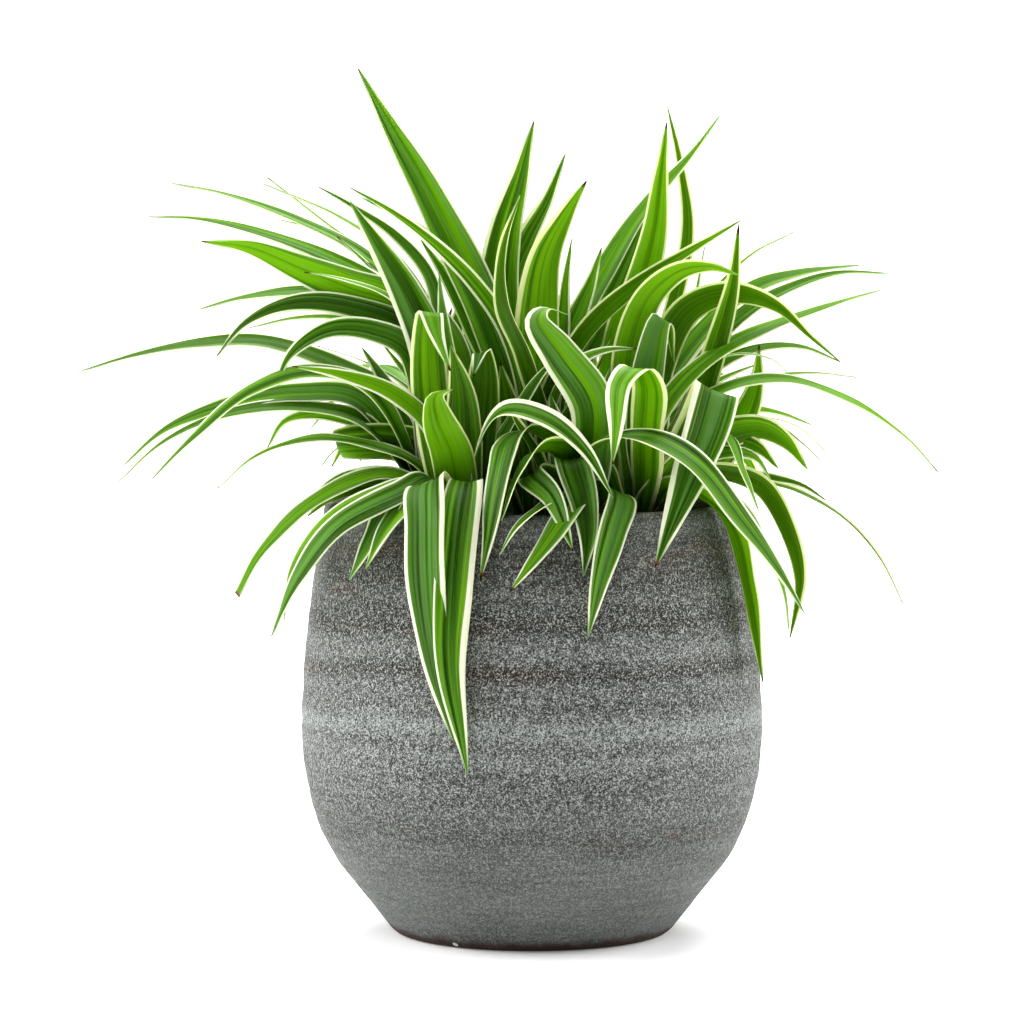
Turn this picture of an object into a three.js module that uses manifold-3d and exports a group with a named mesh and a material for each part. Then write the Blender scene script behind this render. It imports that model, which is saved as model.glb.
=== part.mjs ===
// Potted spider plant: a round pot, the nursery pot that stands in it, potting soil and seven
// crowns of long variegated leaves.
// Millimetres, +Z up. The origin is the middle of the pot's flat underside, and the front is -Y.

import * as THREE from 'three';
import { mergeVertices } from 'three/addons/utils/BufferGeometryUtils.js';
import Module from 'manifold-3d';

const wasm = await Module();
wasm.setup();

// Pot: a bulging bowl on a flat foot, with a round rim
const POT_SEGMENTS = 36;
const POT_WALL = 8.6;
const POT_FLOOR = 12;
const POT_WALL_STEPS = 9;
const POT_FOOT_RADIUS = 70.5;
const POT_FOOT_ROUNDING = 4.5;
const POT_FOOT_RISE = 1.5;
const POT_OUTER_WALL = [
  [73.5, 5], [86, 21], [99.3, 38.5], [108.7, 58.5], [114.5, 86], [115.5, 103.5],
  [113.4, 143], [107.5, 190], [104.3, 210],
];
const RIM_CENTRE = [99.7, 210.2];
const RIM_HALF_WIDTH = 4.6;
const RIM_RISE = 6;
const RIM_STEPS = 5;

// Nursery pot: a thin tapered liner with a turned-out lip and four drain holes
const LINER_SEGMENTS = 32;
const LINER_WALL = 1.5;
const LINER_FOOT_RADIUS = 57;
const LINER_TOP_RADIUS = 85;
const LINER_TOP = 203;
const LINER_LIP_DEPTH = 7;
const LINER_LIP_RADIUS = 89;
const DRAIN_HOLES = 4;
const DRAIN_HOLE_RADIUS = 5;
const DRAIN_HOLE_CIRCLE = 34;
const DRAIN_HOLE_SIDES = 8;
const CUT_PAST = 5;

// Potting soil, filled to a little below the lip, with a lumpy top
const SOIL_TOP = 194;
const SOIL_LUMP = 1.6;
const SOIL_WAVE = [9, 11];
const SOIL_RIPPLE = [4, 5];
const SOIL_RIPPLE_SHARE = 0.5;
const SOIL_EDGE = 3;
const SOIL_HOLE_GAP = 0.35;
const SOIL_RINGS = 3;
const SOIL_SEGMENTS = 20;

// Crown stubs, the thick bases that the leaves grow from, in plain holes in the soil
const STUB_SIDES = 10;
const STUB_FOOT = 160;
const STUB_RADIUS = 10.5;
const STUB_PROFILE = [[0, STUB_FOOT], [9, STUB_FOOT], [STUB_RADIUS, 200], [10, 207], [0, 212]];

// Touching pieces keep this gap
const GAP = 0.3;

// Leaves
const ROOT_OFFSETS = [4.5, 8];
const ROOT_HEIGHTS = [198, 212];
const BLADE_THICKNESS = 1.6;
const TIP_THICKNESS = 1;
const MM_PER_STATION = 55;
const DEGREES_PER_STATION = 32;
const MIN_STATIONS = 4;
const MAX_STATIONS = 12;
const PATH_SAMPLES = 240;
const TURN_SAMPLES = 60;
const CARRY_STEPS = 6;

// Blade width along the leaf, as shares of its length and of its greatest width
const BASE_SHARE = 0.2;
const WIDEST_AT = 0.5;
const TAPER_POWER = 1.9;
const CUT_END_LOSS = 0.55;

// How far the margins rise above the midrib, as a share of half the width: at the base, where
// the channel starts to open, and at the tip
const CHANNEL_BASE = 0.3;
const CHANNEL_OPENS_AT = 0.6;
const CHANNEL_MIDDLE = 0.12;
const CHANNEL_TIP = 0.05;

const LEAF_GREEN = 0x6f8f3c;

// The way a leaf leans, in degrees of the compass seen from above: 0 is +X and 90 the back.
// OUT leans straight away from the crown.
const RIGHT = 30;
const BACK = 90;
const LEFT = 150;
const FRONT = -90;
const OUT = null;

// One leaf: its greatest width, its lean, its twist from root to tip in degrees, and the points
// that its midrib passes through after the root.
const leaf = (width, lean, twist, ...path) => ({ width, lean, twist, path, cut: false });
const cutLeaf = (...row) => ({ ...leaf(...row), cut: true });

const FRONT_LEFT_LEAVES = [
  leaf(21, FRONT, 0, [-50, -80, 230], [-51, -108, 213], [-50, -112, 177], [-44, -113, 135],
    [-37, -114, 108]),
  leaf(19, FRONT, 0, [-32, -76, 230], [-35, -104, 212], [-38, -115, 178], [-39, -118, 145],
    [-31, -119, 94]),
  leaf(17, OUT, 0, [-52, -58, 228], [-64, -73, 224], [-78, -87, 203], [-88, -90, 184]),
  leaf(14, OUT, 0, [-50, -62, 226], [-59, -80, 222], [-71, -91, 208], [-80, -95, 190]),
  leaf(15, OUT, 0, [-50, -56, 230], [-63, -76, 225], [-93, -85, 210], [-113, -85, 185], [-126, -81, 156]),
  leaf(14, OUT, 0, [-55, -52, 228], [-76, -66, 223], [-101, -69, 209], [-117, -65, 185], [-121, -61, 161]),
  cutLeaf(14, LEFT, 0, [-67, -42, 231], [-91, -45, 227], [-114, -45, 213], [-134, -42, 192],
    [-145, -40, 172]),
  leaf(12, LEFT, 0, [-55, -34, 234], [-80, -30, 245], [-110, -28, 248], [-137, -24, 239], [-156, -20, 223]),
  leaf(10, 115, 0, [-47, -42, 250], [-67, -46, 271], [-94, -48, 281], [-117, -50, 285]),
  leaf(21, FRONT, 0, [-37, -54, 228], [-40, -64, 245], [-46, -70, 261], [-47, -66, 271], [-39, -58, 274]),
  leaf(19, FRONT, 0, [-46, -42, 244], [-50, -43, 273], [-51, -41, 300], [-50, -44, 311],
    [-47, -51, 301], [-40, -56, 283]),
  leaf(12, 0, 0, [-27, -52, 243], [-15, -66, 264], [6, -83, 262], [25, -99, 247], [38, -109, 225]),
  leaf(19, -100, 0, [-34, -44, 248], [-35, -47, 273], [-40, -45, 295]),
  leaf(20, -80, 0, [-27, -36, 250], [-24, -36, 280], [-25, -39, 292], [-29, -47, 280]),
  leaf(10, BACK, 0, [-38, -34, 262], [-43, -31, 300], [-46, -30, 331]),
];

const LEFT_LEAVES = [
  leaf(19, FRONT, 0, [-53, -16, 240], [-72, -19, 246], [-86, -20, 246], [-94, -17, 245],
    [-97, -10, 244], [-92, -4, 243], [-80, -1, 241], [-66, 0, 238]),
  leaf(8, LEFT, 0, [-56, -8, 243], [-74, 4, 248], [-98, 8, 241], [-106, 8, 232]),
  leaf(12, LEFT, 0, [-83, -20, 256], [-115, -14, 263], [-150, -8, 260], [-184, 0, 245], [-207, 5, 225]),
  leaf(14, 128, 0, [-85, -12, 266], [-116, -6, 270], [-146, 0, 265], [-182, 8, 252], [-206, 15, 232]),
  leaf(12, LEFT, 0, [-80, -28, 273], [-110, -28, 281], [-139, -30, 272], [-166, -34, 250],
    [-187, -35, 229]),
  leaf(13, 128, 0, [-58, -8, 260], [-96, 8, 282], [-132, 14, 294], [-165, 18, 294], [-198, 22, 288],
    [-229, 25, 279]),
  leaf(10, LEFT, 0, [-46, -12, 252], [-61, 8, 270], [-84, 22, 284], [-108, 26, 292]),
  leaf(14, 112, 0, [-60, -24, 291], [-78, -22, 301], [-100, -22, 302], [-119, -25, 290], [-127, -25, 273]),
  leaf(16, 115, 0, [-43, -22, 267], [-63, -12, 301], [-93, -8, 313], [-121, -6, 314], [-143, -6, 304],
    [-157, -6, 288]),
  leaf(15, 125, 0, [-41, -15, 276], [-61, -2, 307], [-86, 2, 316], [-116, 6, 320], [-144, 8, 317],
    [-167, 8, 311]),
  leaf(11, LEFT, 0, [-46, -22, 288], [-68, -12, 316], [-93, -8, 326], [-113, -8, 330]),
  leaf(22, 110, -50, [-42, -14, 290], [-60, -5, 311], [-91, 0, 322], [-116, 4, 332], [-141, 6, 342],
    [-165, 6, 345]),
  leaf(20, BACK, 0, [-50, -26, 288], [-62, -20, 319], [-77, -16, 344], [-90, -12, 365]),
  leaf(9, LEFT, -50, [-43, -22, 285], [-45, -16, 303], [-52, -8, 329], [-68, -4, 348],
    [-90, -2, 363], [-106, 0, 372]),
  leaf(13, 120, 0, [-60, -8, 222], [-78, -2, 228], [-95, 2, 225], [-110, 4, 213]),
  leaf(14, -120, 0, [-62, -20, 220], [-80, -24, 224], [-98, -26, 220], [-111, -26, 210]),
  leaf(14, 100, 20, [-46, -8, 250], [-47, -4, 285], [-40, -2, 312]),
];

const CENTRE_LEAVES = [
  leaf(9, LEFT, -55, [-4, 0, 262], [-14, -8, 302], [-29, -16, 325], [-49, -22, 345],
    [-69, -24, 360], [-90, -24, 372]),
  leaf(10, LEFT, -30, [-11, 12, 280], [-26, 20, 320], [-56, 22, 351], [-86, 22, 367]),
  leaf(21, 110, 0, [-8, 7, 262], [-20, 8, 301], [-38, 12, 341], [-55, 14, 374], [-72, 16, 404],
    [-87, 18, 431]),
  leaf(22, BACK, 0, [-8, 9, 260], [-17, 16, 316], [-14, 22, 348], [-6, 25, 378], [1, 26, 405]),
  leaf(16, 80, 0, [-6, 10, 265], [-11, 26, 326], [-3, 30, 346], [8, 33, 366], [17, 34, 389]),
  leaf(23, FRONT, 0, [3, 4, 262], [3, 0, 316], [7, 0, 339], [17, 0, 359], [27, -2, 375]),
  leaf(9, BACK, 0, [10, 8, 262], [15, 10, 296], [17, 12, 326], [20, 12, 347]),
  leaf(14, -40, 20, [6, -6, 255], [-5, -22, 291], [-15, -22, 316], [-14, -18, 344], [-6, -14, 368]),
  leaf(12, -60, 0, [8, 2, 262], [17, 0, 285], [31, -4, 305], [54, -6, 325], [79, -8, 341], [104, -10, 356]),
  leaf(15, 75, -35, [12, 12, 268], [24, 22, 305], [41, 28, 337], [58, 32, 363], [81, 35, 389],
    [95, 36, 408]),
  leaf(15, 80, 0, [12, 9, 268], [21, 12, 303], [29, 14, 323], [35, 14, 342]),
  leaf(9, RIGHT, 0, [10, -8, 262], [21, -20, 284], [36, -29, 292], [52, -34, 293]),
  leaf(16, 75, 0, [15, 16, 268], [33, 24, 301], [47, 26, 331], [58, 28, 360]),
  leaf(14, 110, 0, [-13, 12, 268], [-30, 14, 303], [-43, 14, 327], [-56, 14, 346]),
];

const RIGHT_LEAVES = [
  leaf(18, FRONT, 0, [50, -34, 250], [48, -22, 288], [57, -22, 317], [73, -26, 331], [88, -28, 333],
    [101, -28, 329]),
  leaf(17, -100, 60, [60, -14, 250], [63, -2, 281], [77, 2, 310], [98, -4, 319], [120, -12, 314],
    [138, -18, 298], [152, -22, 286]),
  leaf(17, BACK, 0, [54, -38, 253], [57, -35, 283], [63, -33, 307], [67, -25, 303], [70, -20, 285]),
  leaf(13, FRONT, 0, [70, -26, 245], [82, -20, 267], [91, -18, 294], [99, -16, 324], [102, -16, 354]),
  leaf(15, 45, 0, [58, -42, 245], [68, -34, 268], [93, -22, 291], [124, -8, 305], [154, 0, 315],
    [175, 5, 321]),
  leaf(9, RIGHT, 0, [68, -28, 245], [80, -10, 272], [92, -2, 286], [107, 0, 289], [122, 0, 285],
    [131, 0, 275]),
  leaf(13, RIGHT, 0, [77, -40, 261], [100, -34, 275], [127, -30, 277], [157, -30, 267],
    [184, -30, 249], [200, -30, 232]),
  leaf(10, RIGHT, 0, [66, -36, 243], [90, -24, 269], [116, -16, 278], [140, -14, 280], [161, -14, 278]),
  leaf(23, FRONT, 0, [68, -48, 232], [82, -50, 256], [89, -57, 273], [84, -74, 257], [75, -91, 235],
    [67, -104, 216], [58, -110, 192]),
  leaf(21, -55, 0, [74, -52, 238], [90, -56, 256], [100, -70, 238], [109, -78, 216]),
  leaf(17, -80, 0, [68, -54, 226], [83, -62, 222], [97, -61, 207], [105, -54, 178], [113, -50, 130]),
  leaf(12, -30, 0, [78, -30, 230], [100, -20, 230], [115, -18, 223], [127, -18, 202], [133, -20, 178],
    [128, -22, 149]),
  leaf(12, RIGHT, 0, [82, -16, 232], [111, -6, 226], [134, -4, 220], [156, -4, 207], [174, -6, 187],
    [185, -8, 165]),
  leaf(8, RIGHT, 0, [84, -46, 226], [103, -45, 215], [115, -44, 195], [123, -46, 175], [126, -46, 154]),
  leaf(19, -60, 0, [76, -40, 240], [98, -38, 252], [112, -40, 254], [124, -40, 248], [135, -40, 234]),
  leaf(8, RIGHT, 0, [76, -22, 244], [100, -6, 256], [119, -2, 257], [134, 0, 252], [147, 0, 240]),
  leaf(9, RIGHT, 0, [78, -32, 244], [104, -22, 257], [120, -22, 255], [133, -22, 246], [144, -20, 236]),
  leaf(12, RIGHT, 0, [76, -46, 236], [98, -49, 243], [109, -50, 240], [116, -52, 230]),
  leaf(21, -130, 0, [54, -54, 228], [54, -64, 250], [55, -71, 276], [50, -77, 285], [42, -86, 278],
    [40, -92, 258], [38, -94, 240]),
  leaf(14, -60, 0, [58, -50, 222], [66, -56, 234], [76, -58, 250]),
  leaf(16, -50, 0, [76, -38, 238], [94, -34, 247], [110, -34, 245], [121, -34, 234]),
];

const FRONT_LEAVES = [
  leaf(22, 100, 0, [28, -60, 240], [28, -66, 268], [13, -64, 291], [2, -58, 307], [6, -50, 313],
    [17, -44, 310]),
  leaf(18, OUT, 0, [29, -68, 244], [51, -86, 253], [77, -103, 241], [100, -112, 213],
    [117, -112, 190], [129, -110, 170]),
  leaf(17, FRONT, 0, [20, -70, 238], [19, -87, 240], [24, -100, 223], [26, -108, 207], [24, -112, 188]),
  leaf(16, FRONT, 0, [34, -72, 226], [42, -92, 224], [38, -107, 210], [32, -115, 189], [26, -119, 160]),
  leaf(14, FRONT, 0, [8, -70, 232], [-1, -87, 234], [9, -101, 225], [19, -112, 200]),
  leaf(10, FRONT, 0, [16, -72, 224], [7, -98, 222], [-8, -110, 211], [-16, -113, 198]),
  leaf(13, FRONT, 0, [22, -74, 225], [19, -99, 221], [6, -112, 203], [-11, -117, 181]),
  leaf(18, -150, 0, [16, -58, 238], [6, -60, 252], [-4, -64, 254], [-11, -74, 250], [-14, -86, 243],
    [-18, -99, 224], [-21, -108, 206], [-25, -114, 186]),
  leaf(16, FRONT, 0, [20, -62, 238], [13, -74, 247], [3, -84, 247], [-7, -95, 235], [-15, -108, 214]),
];

const BACK_LEFT_LEAVES = [
  leaf(10, 130, 0, [-62, 38, 246], [-87, 30, 254], [-110, 26, 258], [-125, 25, 254], [-134, 25, 240]),
  leaf(13, LEFT, 0, [-44, 46, 270], [-58, 47, 308], [-86, 50, 338], [-119, 54, 355], [-155, 58, 368],
    [-184, 60, 374]),
  leaf(13, LEFT, 0, [-46, 40, 280], [-69, 34, 316], [-102, 32, 336], [-138, 34, 349], [-169, 36, 356],
    [-194, 38, 357]),
  leaf(8, LEFT, 0, [-48, 42, 272], [-67, 38, 291], [-95, 36, 305], [-118, 35, 306], [-143, 35, 301]),
  leaf(9, LEFT, 0, [-42, 56, 285], [-68, 72, 334], [-98, 78, 356], [-139, 82, 374]),
  leaf(9, LEFT, 0, [-52, 64, 290], [-80, 82, 334], [-105, 92, 352], [-137, 95, 377]),
  leaf(12, LEFT, 0, [-46, 42, 276], [-67, 43, 315], [-85, 44, 334], [-99, 45, 347]),
  leaf(7, LEFT, 0, [-50, 54, 280], [-72, 56, 325], [-100, 58, 347], [-131, 60, 356]),
  leaf(15, 110, 0, [-38, 38, 250], [-40, 34, 290], [-34, 30, 322]),
  leaf(12, 140, 0, [-62, 40, 222], [-86, 34, 226], [-104, 30, 220], [-115, 28, 209]),
];

const BACK_RIGHT_LEAVES = [
  leaf(18, FRONT, 0, [40, 30, 262], [46, 12, 300], [55, 4, 325], [61, 3, 349], [64, 4, 376], [67, 4, 404]),
  leaf(9, FRONT, 0, [58, 44, 262], [79, 44, 346], [76, 48, 381], [69, 50, 413]),
  leaf(7, RIGHT, 0, [66, 30, 262], [80, 26, 304], [87, 24, 342]),
  leaf(15, RIGHT, 0, [62, 30, 262], [85, 18, 298], [110, 18, 321], [135, 20, 329], [165, 22, 333]),
  leaf(12, RIGHT, 0, [66, 20, 258], [84, 8, 283], [102, 5, 306], [127, 8, 321], [152, 10, 329],
    [179, 12, 329]),
  leaf(7, RIGHT, 0, [58, 50, 265], [86, 54, 310], [112, 60, 337], [134, 60, 349]),
  leaf(9, RIGHT, 0, [68, 28, 258], [92, 20, 281], [113, 18, 291], [135, 18, 292], [156, 18, 284]),
  leaf(9, RIGHT, 0, [66, 36, 250], [91, 34, 272], [115, 34, 283]),
  leaf(18, FRONT, 0, [72, 30, 222], [94, 14, 238], [108, 12, 260], [113, 14, 276], [114, 14, 293]),
  leaf(8, RIGHT, 0, [76, 26, 226], [115, 10, 227], [135, 10, 223], [148, 10, 215]),
  leaf(8, RIGHT, 0, [74, 34, 244], [95, 26, 256], [110, 24, 260], [126, 24, 258], [142, 24, 252]),
];

// Leaves that follow a rule: an even spray round part of a crown, with a seeded scatter. FAN is
// the long arching leaves at the back, and HEART the short upright ones in a crown's middle.
const FAN = {
  widths: [10, 16], lengths: [130, 215], rise: [52, 78], droop: [-55, -10], twist: 25, scatter: 8,
};
const HEART = {
  widths: [13, 18], lengths: [60, 105], rise: [70, 84], droop: [48, 76], twist: 30, scatter: 25,
};
const SPRAY_POINTS = 4;
const SPRAY_BEND = 1.3;

const CROWNS = [
  {
    name: 'crown_front_left',
    at: [-34, -44],
    leaves: FRONT_LEFT_LEAVES,
    sprays: [{ kind: HEART, count: 2, from: 0, to: 150, seed: 39 }],
  },
  {
    name: 'crown_left',
    at: [-44, -14],
    leaves: LEFT_LEAVES,
    sprays: [{ kind: HEART, count: 2, from: 30, to: 210, seed: 63 }],
  },
  {
    name: 'crown_front',
    at: [22, -52],
    leaves: FRONT_LEAVES,
    sprays: [{ kind: HEART, count: 3, from: 40, to: 200, seed: 14 }],
  },
  {
    name: 'crown_right',
    at: [50, -40],
    leaves: RIGHT_LEAVES,
    sprays: [{ kind: HEART, count: 2, from: 60, to: 240, seed: 8 }],
  },
  {
    name: 'crown_centre',
    at: [2, 6],
    leaves: CENTRE_LEAVES,
    sprays: [{ kind: HEART, count: 4, from: 150, to: 420, seed: 13 }],
  },
  {
    name: 'crown_back_left',
    at: [-34, 46],
    leaves: BACK_LEFT_LEAVES,
    sprays: [
      { kind: FAN, count: 9, from: 60, to: 140, seed: 78 },
      { kind: HEART, count: 4, from: -80, to: 220, seed: 23 },
    ],
  },
  {
    name: 'crown_back_right',
    at: [38, 44],
    leaves: BACK_RIGHT_LEAVES,
    sprays: [
      { kind: FAN, count: 9, from: 45, to: 120, seed: 13 },
      { kind: HEART, count: 4, from: -60, to: 240, seed: 36 },
    ],
  },
];

// Solids

function geometryOf(vertices, triangles) {
  const geometry = new THREE.BufferGeometry();
  geometry.setAttribute('position', new THREE.Float32BufferAttribute(vertices, 3));
  geometry.setIndex(triangles);
  return geometry;
}

function solidOf(geometry) {
  const bare = geometry.clone();
  bare.deleteAttribute('normal');
  bare.deleteAttribute('uv');
  const merged = mergeVertices(bare, 1e-4);
  return new wasm.Manifold(new wasm.Mesh({
    numProp: 3,
    vertProperties: new Float32Array(merged.attributes.position.array),
    triVerts: new Uint32Array(merged.index.array),
  }));
}

function meshOf(name, solid, material) {
  const { vertProperties, triVerts } = solid.getMesh();
  const geometry = geometryOf(vertProperties, Array.from(triVerts));
  geometry.computeVertexNormals();
  const mesh = new THREE.Mesh(geometry, material);
  mesh.name = name;
  return mesh;
}

// Turns a profile of [radius, height] points about the Z axis
function turned(profile, sides) {
  const points = profile.map(([radius, height]) => new THREE.Vector2(radius, height));
  const geometry = new THREE.LatheGeometry(points, sides);
  geometry.rotateX(Math.PI / 2);
  return solidOf(geometry);
}

function post(x, y, radius, bottom, top, sides) {
  return turned([[0, bottom], [radius, bottom], [radius, top], [0, top]], sides).translate([x, y, 0]);
}

// Pot

function potSolid() {
  const wall = new THREE.SplineCurve(POT_OUTER_WALL.map((point) => new THREE.Vector2(...point)));
  const outer = [];
  const inner = [];
  for (let i = 0; i <= POT_WALL_STEPS; i += 1) {
    const along = i / POT_WALL_STEPS;
    const point = wall.getPointAt(along);
    const tangent = wall.getTangentAt(along);
    outer.push([point.x, point.y]);
    inner.push([point.x - tangent.y * POT_WALL, point.y + tangent.x * POT_WALL]);
  }
  const rim = [];
  for (let i = 1; i < RIM_STEPS; i += 1) {
    const angle = (Math.PI * i) / RIM_STEPS;
    const out = RIM_HALF_WIDTH * Math.cos(angle);
    const up = RIM_RISE * Math.sin(angle);
    rim.push([RIM_CENTRE[0] + out, RIM_CENTRE[1] + up]);
  }
  const inside = inner.filter(([, height]) => height > POT_FLOOR).reverse();
  const floorRadius = inside[inside.length - 1][0] - POT_WALL;
  return turned([
    [0, 0], [POT_FOOT_RADIUS - POT_FOOT_ROUNDING, 0], [POT_FOOT_RADIUS, POT_FOOT_RISE],
    ...outer, ...rim, ...inside, [floorRadius, POT_FLOOR], [0, POT_FLOOR],
  ], POT_SEGMENTS);
}

// Nursery pot

const LINER_BOTTOM = POT_FLOOR + GAP;
const LINER_TAPER = (LINER_TOP_RADIUS - LINER_FOOT_RADIUS) / (LINER_TOP - LINER_BOTTOM);
const linerRadius = (height) => LINER_FOOT_RADIUS + LINER_TAPER * (height - LINER_BOTTOM);

function linerSolid() {
  const lipBottom = LINER_TOP - LINER_LIP_DEPTH;
  const floorTop = LINER_BOTTOM + LINER_WALL;
  let liner = turned([
    [0, LINER_BOTTOM], [LINER_FOOT_RADIUS, LINER_BOTTOM], [linerRadius(lipBottom), lipBottom],
    [LINER_LIP_RADIUS, lipBottom], [LINER_LIP_RADIUS, LINER_TOP],
    [linerRadius(LINER_TOP) - LINER_WALL, LINER_TOP],
    [linerRadius(floorTop) - LINER_WALL, floorTop], [0, floorTop],
  ], LINER_SEGMENTS);
  for (let i = 0; i < DRAIN_HOLES; i += 1) {
    const angle = ((i + 0.5) * 2 * Math.PI) / DRAIN_HOLES;
    const x = DRAIN_HOLE_CIRCLE * Math.cos(angle);
    const y = DRAIN_HOLE_CIRCLE * Math.sin(angle);
    liner = liner.subtract(post(x, y, DRAIN_HOLE_RADIUS, 0, floorTop + CUT_PAST, DRAIN_HOLE_SIDES));
  }
  return liner;
}

// Soil

function soilSolid() {
  const bottom = LINER_BOTTOM + LINER_WALL + GAP;
  const sideRadius = (height) => linerRadius(height) - LINER_WALL - 2 * GAP;
  const lump = (x, y) => {
    const wave = Math.sin(x / SOIL_WAVE[0]) * Math.cos(y / SOIL_WAVE[1]);
    const ripple = Math.sin(x / SOIL_RIPPLE[0] + y / SOIL_RIPPLE[1]);
    return SOIL_LUMP * (wave + SOIL_RIPPLE_SHARE * ripple);
  };
  const vertices = [0, 0, bottom, 0, 0, SOIL_TOP];
  const triangles = [];
  const ring = (radius, heightAt) => {
    const first = vertices.length / 3;
    for (let i = 0; i < SOIL_SEGMENTS; i += 1) {
      const angle = (2 * Math.PI * i) / SOIL_SEGMENTS;
      const x = radius * Math.cos(angle);
      const y = radius * Math.sin(angle);
      vertices.push(x, y, heightAt(x, y));
    }
    return first;
  };
  const join = (lower, upper) => {
    for (let i = 0; i < SOIL_SEGMENTS; i += 1) {
      const next = (i + 1) % SOIL_SEGMENTS;
      triangles.push(lower + i, lower + next, upper + next, lower + i, upper + next, upper + i);
    }
  };
  const foot = ring(sideRadius(bottom), () => bottom);
  let previous = ring(sideRadius(SOIL_TOP), () => SOIL_TOP);
  join(foot, previous);
  for (let step = SOIL_RINGS; step >= 1; step -= 1) {
    const radius = ((sideRadius(SOIL_TOP) - SOIL_EDGE) * step) / SOIL_RINGS;
    const current = ring(radius, (x, y) => SOIL_TOP + lump(x, y));
    join(previous, current);
    previous = current;
  }
  for (let i = 0; i < SOIL_SEGMENTS; i += 1) {
    const next = (i + 1) % SOIL_SEGMENTS;
    triangles.push(0, foot + next, foot + i);
    triangles.push(1, previous + i, previous + next);
  }
  let soil = solidOf(geometryOf(vertices, triangles));
  for (const { at } of CROWNS) {
    const radius = STUB_RADIUS + SOIL_HOLE_GAP;
    const top = SOIL_TOP + SOIL_LUMP + CUT_PAST;
    const hole = post(at[0], at[1], radius, STUB_FOOT - GAP, top, STUB_SIDES);
    soil = soil.subtract(hole);
  }
  return soil;
}

// Leaves

const { clamp, lerp, degToRad, radToDeg } = THREE.MathUtils;
const smooth = (x) => THREE.MathUtils.smoothstep(x, 0, 1);

// Blade width along the leaf, as a share of its greatest width
function widthShare(along, cut) {
  if (along < WIDEST_AT) return BASE_SHARE + (1 - BASE_SHARE) * smooth(along / WIDEST_AT);
  const fall = ((along - WIDEST_AT) / (1 - WIDEST_AT)) ** TAPER_POWER;
  return 1 - fall * (cut ? CUT_END_LOSS : 1);
}

function channelDepth(along) {
  if (along < CHANNEL_OPENS_AT) return lerp(CHANNEL_BASE, CHANNEL_MIDDLE, along / CHANNEL_OPENS_AT);
  return lerp(CHANNEL_MIDDLE, CHANNEL_TIP, (along - CHANNEL_OPENS_AT) / (1 - CHANNEL_OPENS_AT));
}

// The midrib: two points in the crown's stub, then the leaf's own
function midrib(crown, path) {
  const [x, y] = crown.at;
  const away = new THREE.Vector2(path[0][0] - x, path[0][1] - y).normalize();
  const rootAt = (offset, i) => [x + away.x * offset, y + away.y * offset, ROOT_HEIGHTS[i]];
  const roots = ROOT_OFFSETS.map(rootAt);
  const points = [...roots, ...path].map((point) => new THREE.Vector3(...point));
  const curve = new THREE.CatmullRomCurve3(points, false, 'centripetal');
  curve.arcLengthDivisions = PATH_SAMPLES;
  return curve;
}

function stationCount(curve) {
  let turn = 0;
  let previous = curve.getTangentAt(0);
  for (let i = 1; i <= TURN_SAMPLES; i += 1) {
    const tangent = curve.getTangentAt(i / TURN_SAMPLES);
    turn += radToDeg(previous.angleTo(tangent));
    previous = tangent;
  }
  const wanted = curve.getLength() / MM_PER_STATION + turn / DEGREES_PER_STATION;
  return clamp(Math.round(wanted), MIN_STATIONS, MAX_STATIONS);
}

function leanOf(crown, { lean, path }) {
  if (lean !== OUT) return degToRad(lean);
  const tip = path[path.length - 1];
  return Math.atan2(tip[1] - crown.at[1], tip[0] - crown.at[0]);
}

// A blade with a keeled four-sided section that ends in a point. The side vector is carried
// along the midrib and turned about it by the twist.
function bladeSolid(crown, blade) {
  const curve = midrib(crown, blade.path);
  const stations = stationCount(curve);
  const lean = leanOf(crown, blade);
  const side = new THREE.Vector3(-Math.sin(lean), Math.cos(lean), 0);
  const vertices = [];
  const triangles = [];
  for (let i = 0; i < stations; i += 1) {
    const along = i / stations;
    for (let step = i === 0 ? CARRY_STEPS : 1; step <= CARRY_STEPS; step += 1) {
      const tangent = curve.getTangentAt(clamp((i - 1 + step / CARRY_STEPS) / stations, 0, 1));
      side.addScaledVector(tangent, -side.dot(tangent)).normalize();
    }
    const tangent = curve.getTangentAt(along);
    const across = side.clone().applyAxisAngle(tangent, degToRad(blade.twist) * along);
    const up = new THREE.Vector3().crossVectors(tangent, across);
    const centre = curve.getPointAt(along);
    const half = (blade.width / 2) * widthShare(along, blade.cut);
    const rise = half * channelDepth(along);
    const keel = lerp(BLADE_THICKNESS, TIP_THICKNESS, along) / 2;
    const ring = [
      centre.clone().addScaledVector(across, half).addScaledVector(up, rise),
      centre.clone().addScaledVector(up, keel),
      centre.clone().addScaledVector(across, -half).addScaledVector(up, rise),
      centre.clone().addScaledVector(up, -keel),
    ];
    for (const point of ring) vertices.push(point.x, point.y, point.z);
  }
  const tip = curve.getPointAt(1);
  vertices.push(tip.x, tip.y, tip.z);
  triangles.push(0, 3, 2, 0, 2, 1);
  for (let i = 0; i < stations - 1; i += 1) {
    for (let face = 0; face < 4; face += 1) {
      const a = 4 * i + face;
      const b = 4 * i + ((face + 1) % 4);
      const onTop = face < 2;
      if (onTop) triangles.push(a, b, b + 4, a, b + 4, a + 4);
      else triangles.push(a, b, a + 4, b, b + 4, a + 4);
    }
  }
  const last = 4 * (stations - 1);
  for (let face = 0; face < 4; face += 1) {
    triangles.push(last + face, last + ((face + 1) % 4), 4 * stations);
  }
  return solidOf(geometryOf(vertices, triangles));
}

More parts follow.
